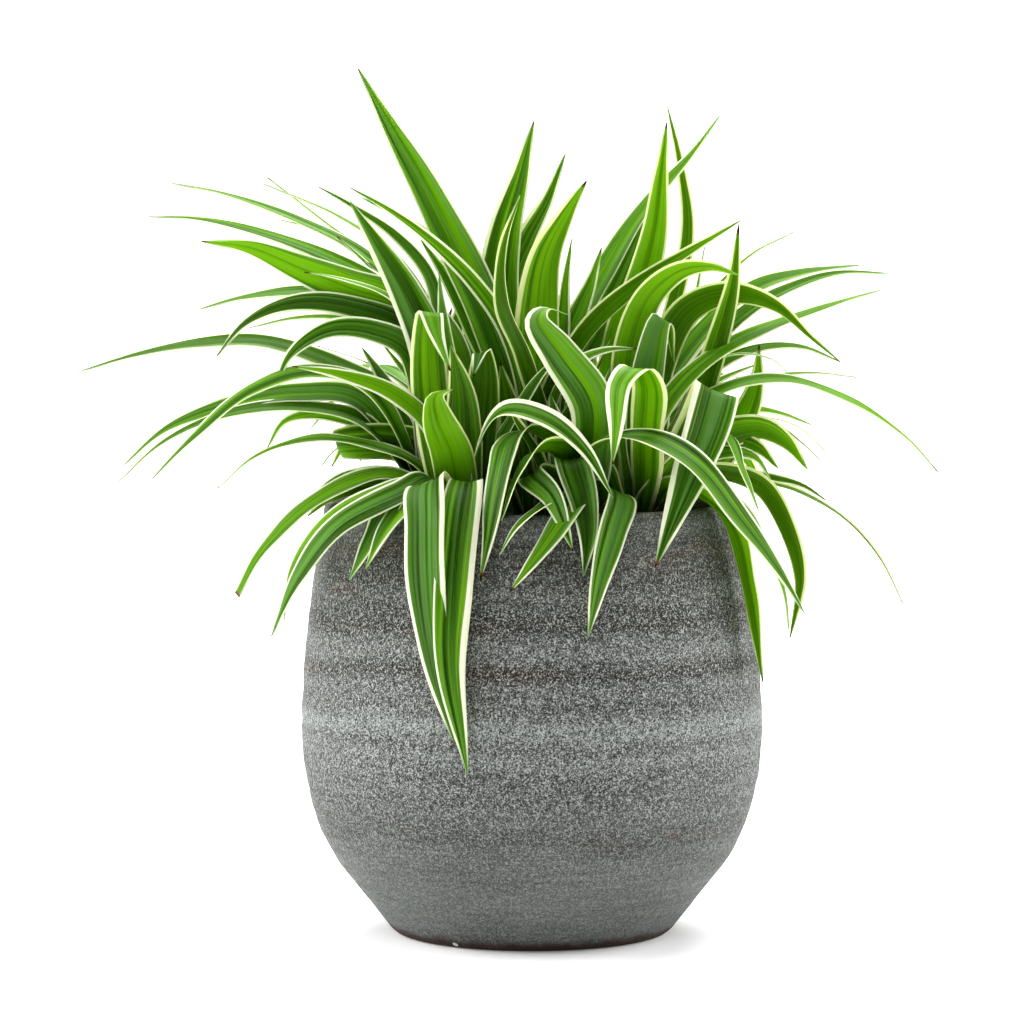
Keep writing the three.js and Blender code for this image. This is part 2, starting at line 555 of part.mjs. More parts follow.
// A small seeded number source
function seededNumbers(seed) {
  let state = seed;
  return () => {
    state = (state + 0x6d2b79f5) | 0;
    let mixed = Math.imul(state ^ (state >>> 15), 1 | state);
    mixed = (mixed + Math.imul(mixed ^ (mixed >>> 7), 61 | mixed)) ^ mixed;
    return ((mixed ^ (mixed >>> 14)) >>> 0) / 2 ** 32;
  };
}

function sprayLeaves(crown, { kind, count, from, to, seed }) {
  const random = seededNumbers(seed);
  const between = ([low, high]) => low + (high - low) * random();
  const leaves = [];
  for (let i = 0; i < count; i += 1) {
    const heading = from + ((to - from) * (i + 0.5)) / count + between([-kind.scatter, kind.scatter]);
    const length = between(kind.lengths);
    const rise = between(kind.rise);
    const droop = between(kind.droop);
    const width = between(kind.widths);
    const twist = between([-kind.twist, kind.twist]);
    let out = ROOT_OFFSETS[1];
    let height = ROOT_HEIGHTS[1];
    const path = [];
    for (let step = 1; step <= SPRAY_POINTS; step += 1) {
      const slope = degToRad(rise + (droop - rise) * (step / SPRAY_POINTS) ** SPRAY_BEND);
      out += (length / SPRAY_POINTS) * Math.cos(slope);
      height += (length / SPRAY_POINTS) * Math.sin(slope);
      path.push([
        crown.at[0] + out * Math.cos(degToRad(heading)),
        crown.at[1] + out * Math.sin(degToRad(heading)),
        height,
      ]);
    }
    leaves.push(leaf(width, heading, twist, ...path));
  }
  return leaves;
}

function allLeaves(crown) {
  return [...crown.leaves, ...crown.sprays.flatMap((spray) => sprayLeaves(crown, spray))];
}

// A crown is one body: the stub with every leaf joined to it. The small pockets that the leaf
// bases close in between them are filled.
function crownSolid(crown) {
  let solid = turned(STUB_PROFILE, STUB_SIDES).translate([crown.at[0], crown.at[1], 0]);
  for (const blade of allLeaves(crown)) solid = solid.add(bladeSolid(crown, blade));
  const shells = solid.decompose();
  const [outside] = shells.sort((a, b) => b.volume() - a.volume());
  return outside;
}

// The assembled plant

const potGlaze = new THREE.MeshStandardMaterial({ color: 0x7f8078, roughness: 0.85, metalness: 0 });
const linerPlastic = new THREE.MeshStandardMaterial({ color: 0x26241f, roughness: 0.6, metalness: 0 });
const soilEarth = new THREE.MeshStandardMaterial({ color: 0x3b2c20, roughness: 1, metalness: 0 });
const leafGreen = new THREE.MeshStandardMaterial({ color: LEAF_GREEN, roughness: 0.5, metalness: 0 });

const plant = new THREE.Group();
plant.add(meshOf('pot', potSolid(), potGlaze));
plant.add(meshOf('grow_pot', linerSolid(), linerPlastic));
plant.add(meshOf('potting_soil', soilSolid(), soilEarth));
for (const crown of CROWNS) plant.add(meshOf(crown.name, crownSolid(crown), leafGreen));

export default plant;
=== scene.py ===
import math
import random

import bpy
import numpy as np
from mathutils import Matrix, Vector, noise


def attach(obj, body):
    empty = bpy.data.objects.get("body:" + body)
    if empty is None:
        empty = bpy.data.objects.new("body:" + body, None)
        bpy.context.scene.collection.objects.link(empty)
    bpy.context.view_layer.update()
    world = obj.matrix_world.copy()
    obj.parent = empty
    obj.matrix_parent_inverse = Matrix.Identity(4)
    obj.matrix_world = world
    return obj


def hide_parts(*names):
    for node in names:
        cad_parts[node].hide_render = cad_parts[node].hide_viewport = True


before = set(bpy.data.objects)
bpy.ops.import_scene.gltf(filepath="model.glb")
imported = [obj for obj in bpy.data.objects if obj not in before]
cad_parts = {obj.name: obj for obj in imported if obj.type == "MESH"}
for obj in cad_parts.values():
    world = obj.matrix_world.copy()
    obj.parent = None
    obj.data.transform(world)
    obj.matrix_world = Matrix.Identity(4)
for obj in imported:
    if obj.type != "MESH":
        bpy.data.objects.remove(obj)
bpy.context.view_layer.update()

# Potted spider plant. Leaves, pots and soil are in millimetres, and materials, lights and camera
# in metres. The origin is the middle of the pot's underside, and -Y is the front.
MM = 0.001

# Camera: the photograph's viewpoint, worked out from the pot's rim and foot ellipses
CAMERA_EYE = (-0.010, -2.125, 0.372)
CAMERA_PITCH_DEG = 4.36
CAMERA_LENS_MM = 149.8
CAMERA_SENSOR_MM = 36.0

# Leaf blades: sizes in millimetres, and shares of a blade's length or width
ROOT_OFFSETS = (4.5, 8)
ROOT_HEIGHTS = (198, 212)
SAMPLES_PER_SPAN = 40
STATION_MM = 3.2
MIN_STATIONS = 12
ACROSS = 11
MIDRIB_THICKNESS = 0.9
MIDRIB_THINNING = 0.4
MIDRIB_POWER = 1.5
MARGIN_THICKNESS = 0.45
BASE_SHARE = 0.45
FULL_WIDTH_BY = 0.36
WIDEST_AT = 0.5
TAPER_POWER = 1.9
CUT_END_LOSS = 0.55
TIP_WIDTH_SHARE = 0.02

# The channel along a blade: how deep at the base, where it has opened, and at the tip.
# Roundness 0 is a sharp V, and 1 a round trough.
CHANNEL_BASE = 0.3
CHANNEL_OPENS_AT = 0.6
CHANNEL_MIDDLE = 0.12
CHANNEL_TIP = 0.05
CHANNEL_ROUNDNESS = 0.65

# Ripples along the margins, which fade towards the base and the tip
RIPPLE_SHARE = 0.07
RIPPLES_PER_LEAF = (2.5, 5)
RIPPLE_FADE_BASE = 3
RIPPLE_FADE_TIP = 4
RIPPLE_SHIFT = 1.7

# Cream margins and dry tips of the leaves that have none of their own below
COMMON_MARGIN_MM = (0.7, 1.25)
WIDEST_MARGIN_SHARE = 0.42
COMMON_DRY_TIPS_MM = (0.0, 0.0, 1.5, 2.5)
LEAF_SEED = 100

# The crown's thick base: points of (radius, height)
STUB_SIDES = 24
STUB_PROFILE = ((9, 160), (10.3, 185), (10.5, 200), (9.8, 207), (6.5, 211), (3, 212))

# The way a leaf leans, in degrees seen from above: 0 is +X and 90 the back. OUT leans straight
# away from the crown.
RIGHT = 30
BACK = 90
LEFT = 150
FRONT = -90
OUT = None


def leaf(width, lean, *path, twist=0, cut=False, margins=None, dry=None, painted_light=0.0):
    """One leaf: its greatest width, its lean, the midrib's points, its twist in degrees from root
    to tip, whether its point is cut off, its left and right cream margin with the upper face to
    the eye and the tip down, the length of its dry tip, and how much painted light, as from light
    shining through the blade, brightens and yellows it."""
    return dict(width=width, lean=lean, path=path, twist=twist, cut=cut, margins=margins, dry=dry,
                painted_light=painted_light)


FRONT_LEFT_LEAVES = [
    leaf(21, FRONT, [-50, -80, 230], [-51, -108, 213], [-50, -112, 177], [-44, -113, 135], [-37, -114, 108],
        margins=(1.6, 2.6)),
    leaf(19, FRONT, [-32, -76, 230], [-35, -104, 212], [-38, -115, 178], [-39, -118, 145], [-31, -119, 94],
        margins=(1.0, 3.0)),
    leaf(17, OUT, [-52, -58, 228], [-64, -73, 224], [-78, -87, 203], [-88, -90, 184]),
    leaf(14, OUT, [-50, -62, 226], [-59, -80, 222], [-71, -91, 208], [-80, -95, 190]),
    leaf(15, OUT, [-50, -56, 230], [-63, -76, 225], [-93, -85, 210], [-113, -85, 185], [-126, -81, 156]),
    leaf(14, OUT, [-55, -52, 228], [-76, -66, 223], [-101, -69, 209], [-117, -65, 185], [-121, -61, 161]),
    leaf(14, LEFT, [-67, -42, 231], [-91, -45, 227], [-114, -45, 213], [-134, -42, 192], [-145, -40, 172],
        cut=True, dry=1.2),
    leaf(12, LEFT, [-55, -34, 234], [-80, -30, 245], [-110, -28, 248], [-137, -24, 239], [-156, -20, 223]),
    leaf(10, 115, [-47, -42, 250], [-67, -46, 271], [-94, -48, 281], [-117, -50, 285], painted_light=1.0),
    leaf(21, FRONT, [-37, -54, 228], [-40, -64, 245], [-46, -70, 261], [-47, -66, 271], [-39, -58, 274],
        painted_light=1.0),
    leaf(19, FRONT, [-46, -42, 244], [-50, -43, 273], [-51, -41, 300], [-50, -44, 311], [-47, -51, 301],
        [-40, -56, 283], margins=(1.5, 1.5), painted_light=0.6),
    leaf(12, 0, [-27, -52, 243], [-15, -66, 264], [6, -83, 262], [25, -99, 247], [38, -109, 225],
        margins=(1.4, 2.6)),
    leaf(19, -100, [-34, -44, 248], [-35, -47, 273], [-40, -45, 295]),
    leaf(20, -80, [-27, -36, 250], [-24, -36, 280], [-25, -39, 292], [-29, -47, 280]),
    leaf(10, BACK, [-38, -34, 262], [-43, -31, 300], [-46, -30, 331]),
]

LEFT_LEAVES = [
    leaf(19, FRONT, [-53, -16, 240], [-72, -19, 246], [-86, -20, 246], [-94, -17, 245], [-97, -10, 244],
        [-92, -4, 243], [-80, -1, 241], [-66, 0, 238]),
    leaf(8, LEFT, [-56, -8, 243], [-74, 4, 248], [-98, 8, 241], [-106, 8, 232]),
    leaf(12, LEFT, [-83, -20, 256], [-115, -14, 263], [-150, -8, 260], [-184, 0, 245], [-207, 5, 225]),
    leaf(14, 128, [-85, -12, 266], [-116, -6, 270], [-146, 0, 265], [-182, 8, 252], [-206, 15, 232]),
    leaf(12, LEFT, [-80, -28, 273], [-110, -28, 281], [-139, -30, 272], [-166, -34, 250], [-187, -35, 229]),
    leaf(13, 128, [-58, -8, 260], [-96, 8, 282], [-132, 14, 294], [-165, 18, 294], [-198, 22, 288],
        [-229, 25, 279]),
    leaf(10, LEFT, [-46, -12, 252], [-61, 8, 270], [-84, 22, 284], [-108, 26, 292]),
    leaf(14, 112, [-60, -24, 291], [-78, -22, 301], [-100, -22, 302], [-119, -25, 290], [-127, -25, 273]),
    leaf(16, 115, [-43, -22, 267], [-63, -12, 301], [-93, -8, 313], [-121, -6, 314], [-143, -6, 304],
        [-157, -6, 288]),
    leaf(15, 125, [-41, -15, 276], [-61, -2, 307], [-86, 2, 316], [-116, 6, 320], [-144, 8, 317],
        [-167, 8, 311]),
    leaf(11, LEFT, [-46, -22, 288], [-68, -12, 316], [-93, -8, 326], [-113, -8, 330]),
    leaf(22, 110, [-42, -14, 290], [-60, -5, 311], [-91, 0, 322], [-116, 4, 332], [-141, 6, 342],
        [-165, 6, 345], twist=-50, dry=2, painted_light=0.5),
    leaf(20, BACK, [-50, -26, 288], [-62, -20, 319], [-77, -16, 344], [-90, -12, 365], margins=(0.9, 2.2)),
    leaf(9, LEFT, [-43, -22, 285], [-45, -16, 303], [-52, -8, 329], [-68, -4, 348], [-90, -2, 363],
        [-106, 0, 372], twist=-50, dry=2, painted_light=0.2),
    leaf(13, 120, [-60, -8, 222], [-78, -2, 228], [-95, 2, 225], [-110, 4, 213]),
    leaf(14, -120, [-62, -20, 220], [-80, -24, 224], [-98, -26, 220], [-111, -26, 210]),
    leaf(14, 100, [-46, -8, 250], [-47, -4, 285], [-40, -2, 312], twist=20),
]

CENTRE_LEAVES = [
    leaf(9, LEFT, [-4, 0, 262], [-14, -8, 302], [-29, -16, 325], [-49, -22, 345], [-69, -24, 360],
        [-90, -24, 372], twist=-55, dry=2, painted_light=1.0),
    leaf(10, LEFT, [-11, 12, 280], [-26, 20, 320], [-56, 22, 351], [-86, 22, 367], twist=-30),
    leaf(21, 110, [-8, 7, 262], [-20, 8, 301], [-38, 12, 341], [-55, 14, 374], [-72, 16, 404],
        [-87, 18, 431]),
    leaf(22, BACK, [-8, 9, 260], [-17, 16, 316], [-14, 22, 348], [-6, 25, 378], [1, 26, 405],
        margins=(1.0, 2.0), dry=1.5, painted_light=0.9),
    leaf(16, 80, [-6, 10, 265], [-11, 26, 326], [-3, 30, 346], [8, 33, 366], [17, 34, 389],
        margins=(1.0, 2.6)),
    leaf(23, FRONT, [3, 4, 262], [3, 0, 316], [7, 0, 339], [17, 0, 359], [27, -2, 375], margins=(2.4, 0.8),
        dry=3, painted_light=0.7),
    leaf(9, BACK, [10, 8, 262], [15, 10, 296], [17, 12, 326], [20, 12, 347]),
    leaf(14, -40, [6, -6, 255], [-5, -22, 291], [-15, -22, 316], [-14, -18, 344], [-6, -14, 368], twist=20),
    leaf(12, -60, [8, 2, 262], [17, 0, 285], [31, -4, 305], [54, -6, 325], [79, -8, 341], [104, -10, 356]),
    leaf(15, 75, [12, 12, 268], [24, 22, 305], [41, 28, 337], [58, 32, 363], [81, 35, 389], [95, 36, 408],
        twist=-35),
    leaf(15, 80, [12, 9, 268], [21, 12, 303], [29, 14, 323], [35, 14, 342]),
    leaf(9, RIGHT, [10, -8, 262], [21, -20, 284], [36, -29, 292], [52, -34, 293]),
    leaf(16, 75, [15, 16, 268], [33, 24, 301], [47, 26, 331], [58, 28, 360]),
    leaf(14, 110, [-13, 12, 268], [-30, 14, 303], [-43, 14, 327], [-56, 14, 346]),
]

RIGHT_LEAVES = [
    leaf(18, FRONT, [50, -34, 250], [48, -22, 288], [57, -22, 317], [73, -26, 331], [88, -28, 333],
        [101, -28, 329], painted_light=0.6),
    leaf(17, -100, [60, -14, 250], [63, -2, 281], [77, 2, 310], [98, -4, 319], [120, -12, 314],
        [138, -18, 298], [152, -22, 286], twist=60),
    leaf(17, BACK, [54, -38, 253], [57, -35, 283], [63, -33, 307], [67, -25, 303], [70, -20, 285]),
    leaf(13, FRONT, [70, -26, 245], [82, -20, 267], [91, -18, 294], [99, -16, 324], [102, -16, 354], dry=5,
        painted_light=0.7),
    leaf(15, 45, [58, -42, 245], [68, -34, 268], [93, -22, 291], [124, -8, 305], [154, 0, 315],
        [175, 5, 321], painted_light=0.8),
    leaf(9, RIGHT, [68, -28, 245], [80, -10, 272], [92, -2, 286], [107, 0, 289], [122, 0, 285],
        [131, 0, 275]),
    leaf(13, RIGHT, [77, -40, 261], [100, -34, 275], [127, -30, 277], [157, -30, 267], [184, -30, 249],
        [200, -30, 232], dry=4),
    leaf(10, RIGHT, [66, -36, 243], [90, -24, 269], [116, -16, 278], [140, -14, 280], [161, -14, 278]),
    leaf(23, FRONT, [68, -48, 232], [82, -50, 256], [89, -57, 273], [84, -74, 257], [75, -91, 235],
        [67, -104, 216], [58, -110, 192], margins=(2.8, 1.2), dry=3),
    leaf(21, -55, [74, -52, 238], [90, -56, 256], [100, -70, 238], [109, -78, 216]),
    leaf(17, -80, [68, -54, 226], [83, -62, 222], [97, -61, 207], [105, -54, 178], [113, -50, 130]),
    leaf(12, -30, [78, -30, 230], [100, -20, 230], [115, -18, 223], [127, -18, 202], [133, -20, 178],
        [128, -22, 149]),
    leaf(12, RIGHT, [82, -16, 232], [111, -6, 226], [134, -4, 220], [156, -4, 207], [174, -6, 187],
        [185, -8, 165], dry=2),
    leaf(8, RIGHT, [84, -46, 226], [103, -45, 215], [115, -44, 195], [123, -46, 175], [126, -46, 154]),
    leaf(19, -60, [76, -40, 240], [98, -38, 252], [112, -40, 254], [124, -40, 248], [135, -40, 234]),
    leaf(8, RIGHT, [76, -22, 244], [100, -6, 256], [119, -2, 257], [134, 0, 252], [147, 0, 240]),
    leaf(9, RIGHT, [78, -32, 244], [104, -22, 257], [120, -22, 255], [133, -22, 246], [144, -20, 236]),
    leaf(12, RIGHT, [76, -46, 236], [98, -49, 243], [109, -50, 240], [116, -52, 230]),
    leaf(21, -130, [54, -54, 228], [54, -64, 250], [55, -71, 276], [50, -77, 285], [42, -86, 278],
        [40, -92, 258], [38, -94, 240], margins=(2.4, 2.0)),
    leaf(14, -60, [58, -50, 222], [66, -56, 234], [76, -58, 250]),
    leaf(16, -50, [76, -38, 238], [94, -34, 247], [110, -34, 245], [121, -34, 234]),
]

FRONT_LEAVES = [
    leaf(22, 100, [28, -60, 240], [28, -66, 268], [13, -64, 291], [2, -58, 307], [6, -50, 313],
        [17, -44, 310], margins=(0.9, 2.3)),
    leaf(18, OUT, [29, -68, 244], [51, -86, 253], [77, -103, 241], [100, -112, 213], [117, -112, 190],
        [129, -110, 170]),
    leaf(17, FRONT, [20, -70, 238], [19, -87, 240], [24, -100, 223], [26, -108, 207], [24, -112, 188]),
    leaf(16, FRONT, [34, -72, 226], [42, -92, 224], [38, -107, 210], [32, -115, 189], [26, -119, 160]),
    leaf(14, FRONT, [8, -70, 232], [-1, -87, 234], [9, -101, 225], [19, -112, 200]),
    leaf(10, FRONT, [16, -72, 224], [7, -98, 222], [-8, -110, 211], [-16, -113, 198]),
    leaf(13, FRONT, [22, -74, 225], [19, -99, 221], [6, -112, 203], [-11, -117, 181]),
    leaf(18, -150, [16, -58, 238], [6, -60, 252], [-4, -64, 254], [-11, -74, 250], [-14, -86, 243],
        [-18, -99, 224], [-21, -108, 206], [-25, -114, 186], dry=4),
    leaf(16, FRONT, [20, -62, 238], [13, -74, 247], [3, -84, 247], [-7, -95, 235], [-15, -108, 214]),
]

BACK_LEFT_LEAVES = [
    leaf(10, 130, [-62, 38, 246], [-87, 30, 254], [-110, 26, 258], [-125, 25, 254], [-134, 25, 240]),
    leaf(13, LEFT, [-44, 46, 270], [-58, 47, 308], [-86, 50, 338], [-119, 54, 355], [-155, 58, 368],
        [-184, 60, 374]),
    leaf(13, LEFT, [-46, 40, 280], [-69, 34, 316], [-102, 32, 336], [-138, 34, 349], [-169, 36, 356],
        [-194, 38, 357]),
    leaf(8, LEFT, [-48, 42, 272], [-67, 38, 291], [-95, 36, 305], [-118, 35, 306], [-143, 35, 301]),
    leaf(9, LEFT, [-42, 56, 285], [-68, 72, 334], [-98, 78, 356], [-139, 82, 374]),
    leaf(9, LEFT, [-52, 64, 290], [-80, 82, 334], [-105, 92, 352], [-137, 95, 377]),
    leaf(12, LEFT, [-46, 42, 276], [-67, 43, 315], [-85, 44, 334], [-99, 45, 347]),
    leaf(7, LEFT, [-50, 54, 280], [-72, 56, 325], [-100, 58, 347], [-131, 60, 356]),
    leaf(15, 110, [-38, 38, 250], [-40, 34, 290], [-34, 30, 322]),
    leaf(12, 140, [-62, 40, 222], [-86, 34, 226], [-104, 30, 220], [-115, 28, 209]),
]

BACK_RIGHT_LEAVES = [
    leaf(18, FRONT, [40, 30, 262], [46, 12, 300], [55, 4, 325], [61, 3, 349], [64, 4, 376], [67, 4, 404],
        painted_light=0.9),
    leaf(9, FRONT, [58, 44, 262], [79, 44, 346], [76, 48, 381], [69, 50, 413]),
    leaf(7, RIGHT, [66, 30, 262], [80, 26, 304], [87, 24, 342]),
    leaf(15, RIGHT, [62, 30, 262], [85, 18, 298], [110, 18, 321], [135, 20, 329], [165, 22, 333]),
    leaf(12, RIGHT, [66, 20, 258], [84, 8, 283], [102, 5, 306], [127, 8, 321], [152, 10, 329],
        [179, 12, 329]),
    leaf(7, RIGHT, [58, 50, 265], [86, 54, 310], [112, 60, 337], [134, 60, 349]),
    leaf(9, RIGHT, [68, 28, 258], [92, 20, 281], [113, 18, 291], [135, 18, 292], [156, 18, 284]),
    leaf(9, RIGHT, [66, 36, 250], [91, 34, 272], [115, 34, 283]),
    leaf(18, FRONT, [72, 30, 222], [94, 14, 238], [108, 12, 260], [113, 14, 276], [114, 14, 293]),
    leaf(8, RIGHT, [76, 26, 226], [115, 10, 227], [135, 10, 223], [148, 10, 215]),
    leaf(8, RIGHT, [74, 34, 244], [95, 26, 256], [110, 24, 260], [126, 24, 258], [142, 24, 252]),
]

# Leaves that follow a rule: FAN is the long arching leaves at the back, and HEART the short
# upright ones in a crown's middle
FAN = dict(widths=(10, 16), lengths=(130, 215), rise=(52, 78), droop=(-55, -10), twist=25, scatter=8)
HEART = dict(widths=(13, 18), lengths=(60, 105), rise=(70, 84), droop=(48, 76), twist=30, scatter=25)
SPRAY_POINTS = 4
SPRAY_BEND = 1.3


def spray_of(kind, count, start, end, seed):
    """Leaves by rule: how many of them, and the compass degrees that they spread over."""
    return dict(kind=kind, count=count, start=start, end=end, seed=seed)


def rosette(name, at, leaves, *sprays):
    """One crown: its middle, its traced leaves, and the sprays that fill it up."""
    return dict(name=name, at=at, leaves=leaves, sprays=sprays)


CROWNS = (
    rosette("crown_front_left", (-34, -44), FRONT_LEFT_LEAVES, spray_of(HEART, 2, 0, 150, 39)),
    rosette("crown_left", (-44, -14), LEFT_LEAVES, spray_of(HEART, 2, 30, 210, 63)),
    rosette("crown_front", (22, -52), FRONT_LEAVES, spray_of(HEART, 3, 40, 200, 14)),
    rosette("crown_right", (50, -40), RIGHT_LEAVES, spray_of(HEART, 2, 60, 240, 8)),
    rosette("crown_centre", (2, 6), CENTRE_LEAVES, spray_of(HEART, 4, 150, 420, 13)),
    rosette("crown_back_left", (-34, 46), BACK_LEFT_LEAVES,
            spray_of(FAN, 9, 60, 140, 78), spray_of(HEART, 4, -80, 220, 23)),
    rosette("crown_back_right", (38, 44), BACK_RIGHT_LEAVES,
            spray_of(FAN, 9, 45, 120, 13), spray_of(HEART, 4, -60, 240, 36)),
)

# Small helpers

def srgb(red, green, blue):
    """A screen colour, 0 to 255, as a linear RGBA colour."""
    channels = []
    for value in (red, green, blue):
        share = value / 255
        channels.append(share / 12.92 if share <= 0.04045 else ((share + 0.055) / 1.055) ** 2.4)
    return (*channels, 1.0)


def smooth(x):
    x = min(max(x, 0.0), 1.0)
    return x * x * (3 - 2 * x)


def add_object(name, data):
    thing = bpy.data.objects.new(name, data)
    bpy.context.scene.collection.objects.link(thing)
    return thing


def mesh_object(name, vertices, faces):
    mesh = bpy.data.meshes.new(name)
    mesh.from_pydata(vertices, [], faces)
    mesh.update()
    for polygon in mesh.polygons:
        polygon.use_smooth = True
    return add_object(name, mesh)


def dress(piece, node, material):
    """Puts a piece on the root body in place of its CAD node."""
    piece.data.materials.append(material)
    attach(piece, "root")
    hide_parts(node)


# Node building

class Graph:
    """A short way to write a material's node tree."""

    def __init__(self, name):
        self.material = bpy.data.materials.new(name)
        self.material.use_nodes = True
        self.tree = self.material.node_tree
        self.tree.nodes.clear()
        self.output = self.tree.nodes.new("ShaderNodeOutputMaterial")

    def node(self, kind, inputs=None, **settings):
        made = self.tree.nodes.new("ShaderNode" + kind)
        for key, value in settings.items():
            setattr(made, key, value)
        for key, value in (inputs or {}).items():
            socket = made.inputs[key]
            if isinstance(value, bpy.types.NodeSocket):
                self.tree.links.new(value, socket)
            else:
                socket.default_value = value
        return made

    def math(self, operation, first, second=0.0, third=0.0, clamp=False):
        inputs = {0: first, 1: second, 2: third}
        return self.node("Math", inputs, operation=operation, use_clamp=clamp).outputs[0]

    def plus(self, first, second):
        return self.math("ADD", first, second)

    def times(self, first, second):
        return self.math("MULTIPLY", first, second)

    def vector(self, x, y, z):
        return self.node("CombineXYZ", {0: x, 1: y, 2: z}).outputs[0]

    def noise(self, vector, scale, detail=2.0, roughness=0.5, distortion=0.0):
        inputs = {"Vector": vector, "Scale": scale, "Detail": detail, "Roughness": roughness,
                  "Distortion": distortion}
        return self.node("TexNoise", inputs).outputs["Fac"]

    def ramp(self, value, low, high, to_low=0.0, to_high=1.0):
        inputs = {"Value": value, "From Min": low, "From Max": high, "To Min": to_low, "To Max": to_high}
        return self.node("MapRange", inputs, interpolation_type="SMOOTHSTEP").outputs["Result"]

    def mix(self, share, first, second):
        return self.node("Mix", {0: share, 6: first, 7: second}, data_type="RGBA").outputs[2]

    def mix_value(self, share, first, second):
        return self.node("Mix", {0: share, 2: first, 3: second}, data_type="FLOAT").outputs[0]

    def add_spread(self, value, noise, spread, clamp=False):
        """A value shifted by noise, by up to half the spread either way."""
        shift = self.math("MULTIPLY_ADD", noise, spread, -spread / 2)
        return self.math("ADD", value, shift, clamp=clamp)

    def bump(self, strength, depth, height):
        inputs = {"Strength": strength, "Distance": depth, "Height": height}
        return self.node("Bump", inputs).outputs[0]

    def attribute(self, name):
        return self.node("Attribute", attribute_name=name).outputs["Fac"]

    def show(self, shader):
        self.tree.links.new(shader, self.output.inputs["Surface"])
        return self.material


# Leaves

def smooth_curve(points):
    """A smooth curve through the points, finely sampled: a centripetal spline."""
    points = np.array(points, float)
    first = 2 * points[0] - points[1]
    last = 2 * points[-1] - points[-2]
    padded = np.vstack([first, points, last])
    shares = np.linspace(0, 1, SAMPLES_PER_SPAN, endpoint=False)[:, None]
    samples = []
    for p0, p1, p2, p3 in zip(padded, padded[1:], padded[2:], padded[3:]):
        d0 = np.linalg.norm(p1 - p0) ** 0.5
        d1 = np.linalg.norm(p2 - p1) ** 0.5
        d2 = np.linalg.norm(p3 - p2) ** 0.5
        start = ((p1 - p0) / d0 - (p2 - p0) / (d0 + d1) + (p2 - p1) / d1) * d1
        end = ((p2 - p1) / d1 - (p3 - p1) / (d1 + d2) + (p3 - p2) / d2) * d1
        c2 = -3 * p1 + 3 * p2 - 2 * start - end
        c3 = 2 * p1 - 2 * p2 + start + end
        samples.append(p1 + start * shares + c2 * shares ** 2 + c3 * shares ** 3)
    samples.append(points[-1:])
    return np.vstack(samples)


def evenly_spaced(samples, count):
    """count + 1 points at equal steps of arc length, and the whole length."""
    steps = np.linalg.norm(np.diff(samples, axis=0), axis=1)
    run = np.concatenate([[0], np.cumsum(steps)])
    wanted = np.linspace(0, run[-1], count + 1)
    spaced = np.stack([np.interp(wanted, run, column) for column in samples.T], axis=1)
    return spaced, run[-1]


def midrib(crown, path):
    """The midrib's control points: two in the crown's base, then the leaf's own."""
    x, y = crown["at"]
    away = np.array([path[0][0] - x, path[0][1] - y], float)
    away /= max(np.linalg.norm(away), 1e-9)
    roots = []
    for offset, height in zip(ROOT_OFFSETS, ROOT_HEIGHTS):
        roots.append((x + away[0] * offset, y + away[1] * offset, height))
    return [*roots, *path]


def lean_of(crown, blade):
    if blade["lean"] is not OUT:
        return math.radians(blade["lean"])
    tip = blade["path"][-1]
    return math.atan2(tip[1] - crown["at"][1], tip[0] - crown["at"][0])


def width_share(along, cut):
    """Blade width along the leaf, as a share of its greatest width."""
    if along < WIDEST_AT:
        return BASE_SHARE + (1 - BASE_SHARE) * smooth(along / FULL_WIDTH_BY)
    fall = ((along - WIDEST_AT) / (1 - WIDEST_AT)) ** TAPER_POWER
    return 1 - fall * (CUT_END_LOSS if cut else 1 - TIP_WIDTH_SHARE)


def channel_depth(along):
    """How far the margins rise above the midrib, as a share of half the width."""
    if along < CHANNEL_OPENS_AT:
        return CHANNEL_BASE + (CHANNEL_MIDDLE - CHANNEL_BASE) * along / CHANNEL_OPENS_AT
    past = (along - CHANNEL_OPENS_AT) / (1 - CHANNEL_OPENS_AT)
    return CHANNEL_MIDDLE + (CHANNEL_TIP - CHANNEL_MIDDLE) * past


def blade_faces(count):
    """The faces of a blade with count + 1 stations: both sides, both margins and the two ends."""
    faces = []
    ring = 2 * ACROSS
    for i in range(count):
        here, there = i * ring, (i + 1) * ring
        for j in range(ACROSS - 1):
            faces.append((here + j, there + j, there + j + 1, here + j + 1))
            low, lower = here + ACROSS + j, there + ACROSS + j
            faces.append((low, low + 1, lower + 1, lower))
        for j in (0, ACROSS - 1):
            a, b = here + j, here + ACROSS + j
            c, d = there + ACROSS + j, there + j
            faces.append((a, b, c, d) if j == 0 else (d, c, b, a))
    for start, flip in ((0, False), (count * ring, True)):
        for j in range(ACROSS - 1):
            quad = (start + j, start + j + 1, start + ACROSS + j + 1, start + ACROSS + j)
            faces.append(quad[::-1] if flip else quad)
    return faces


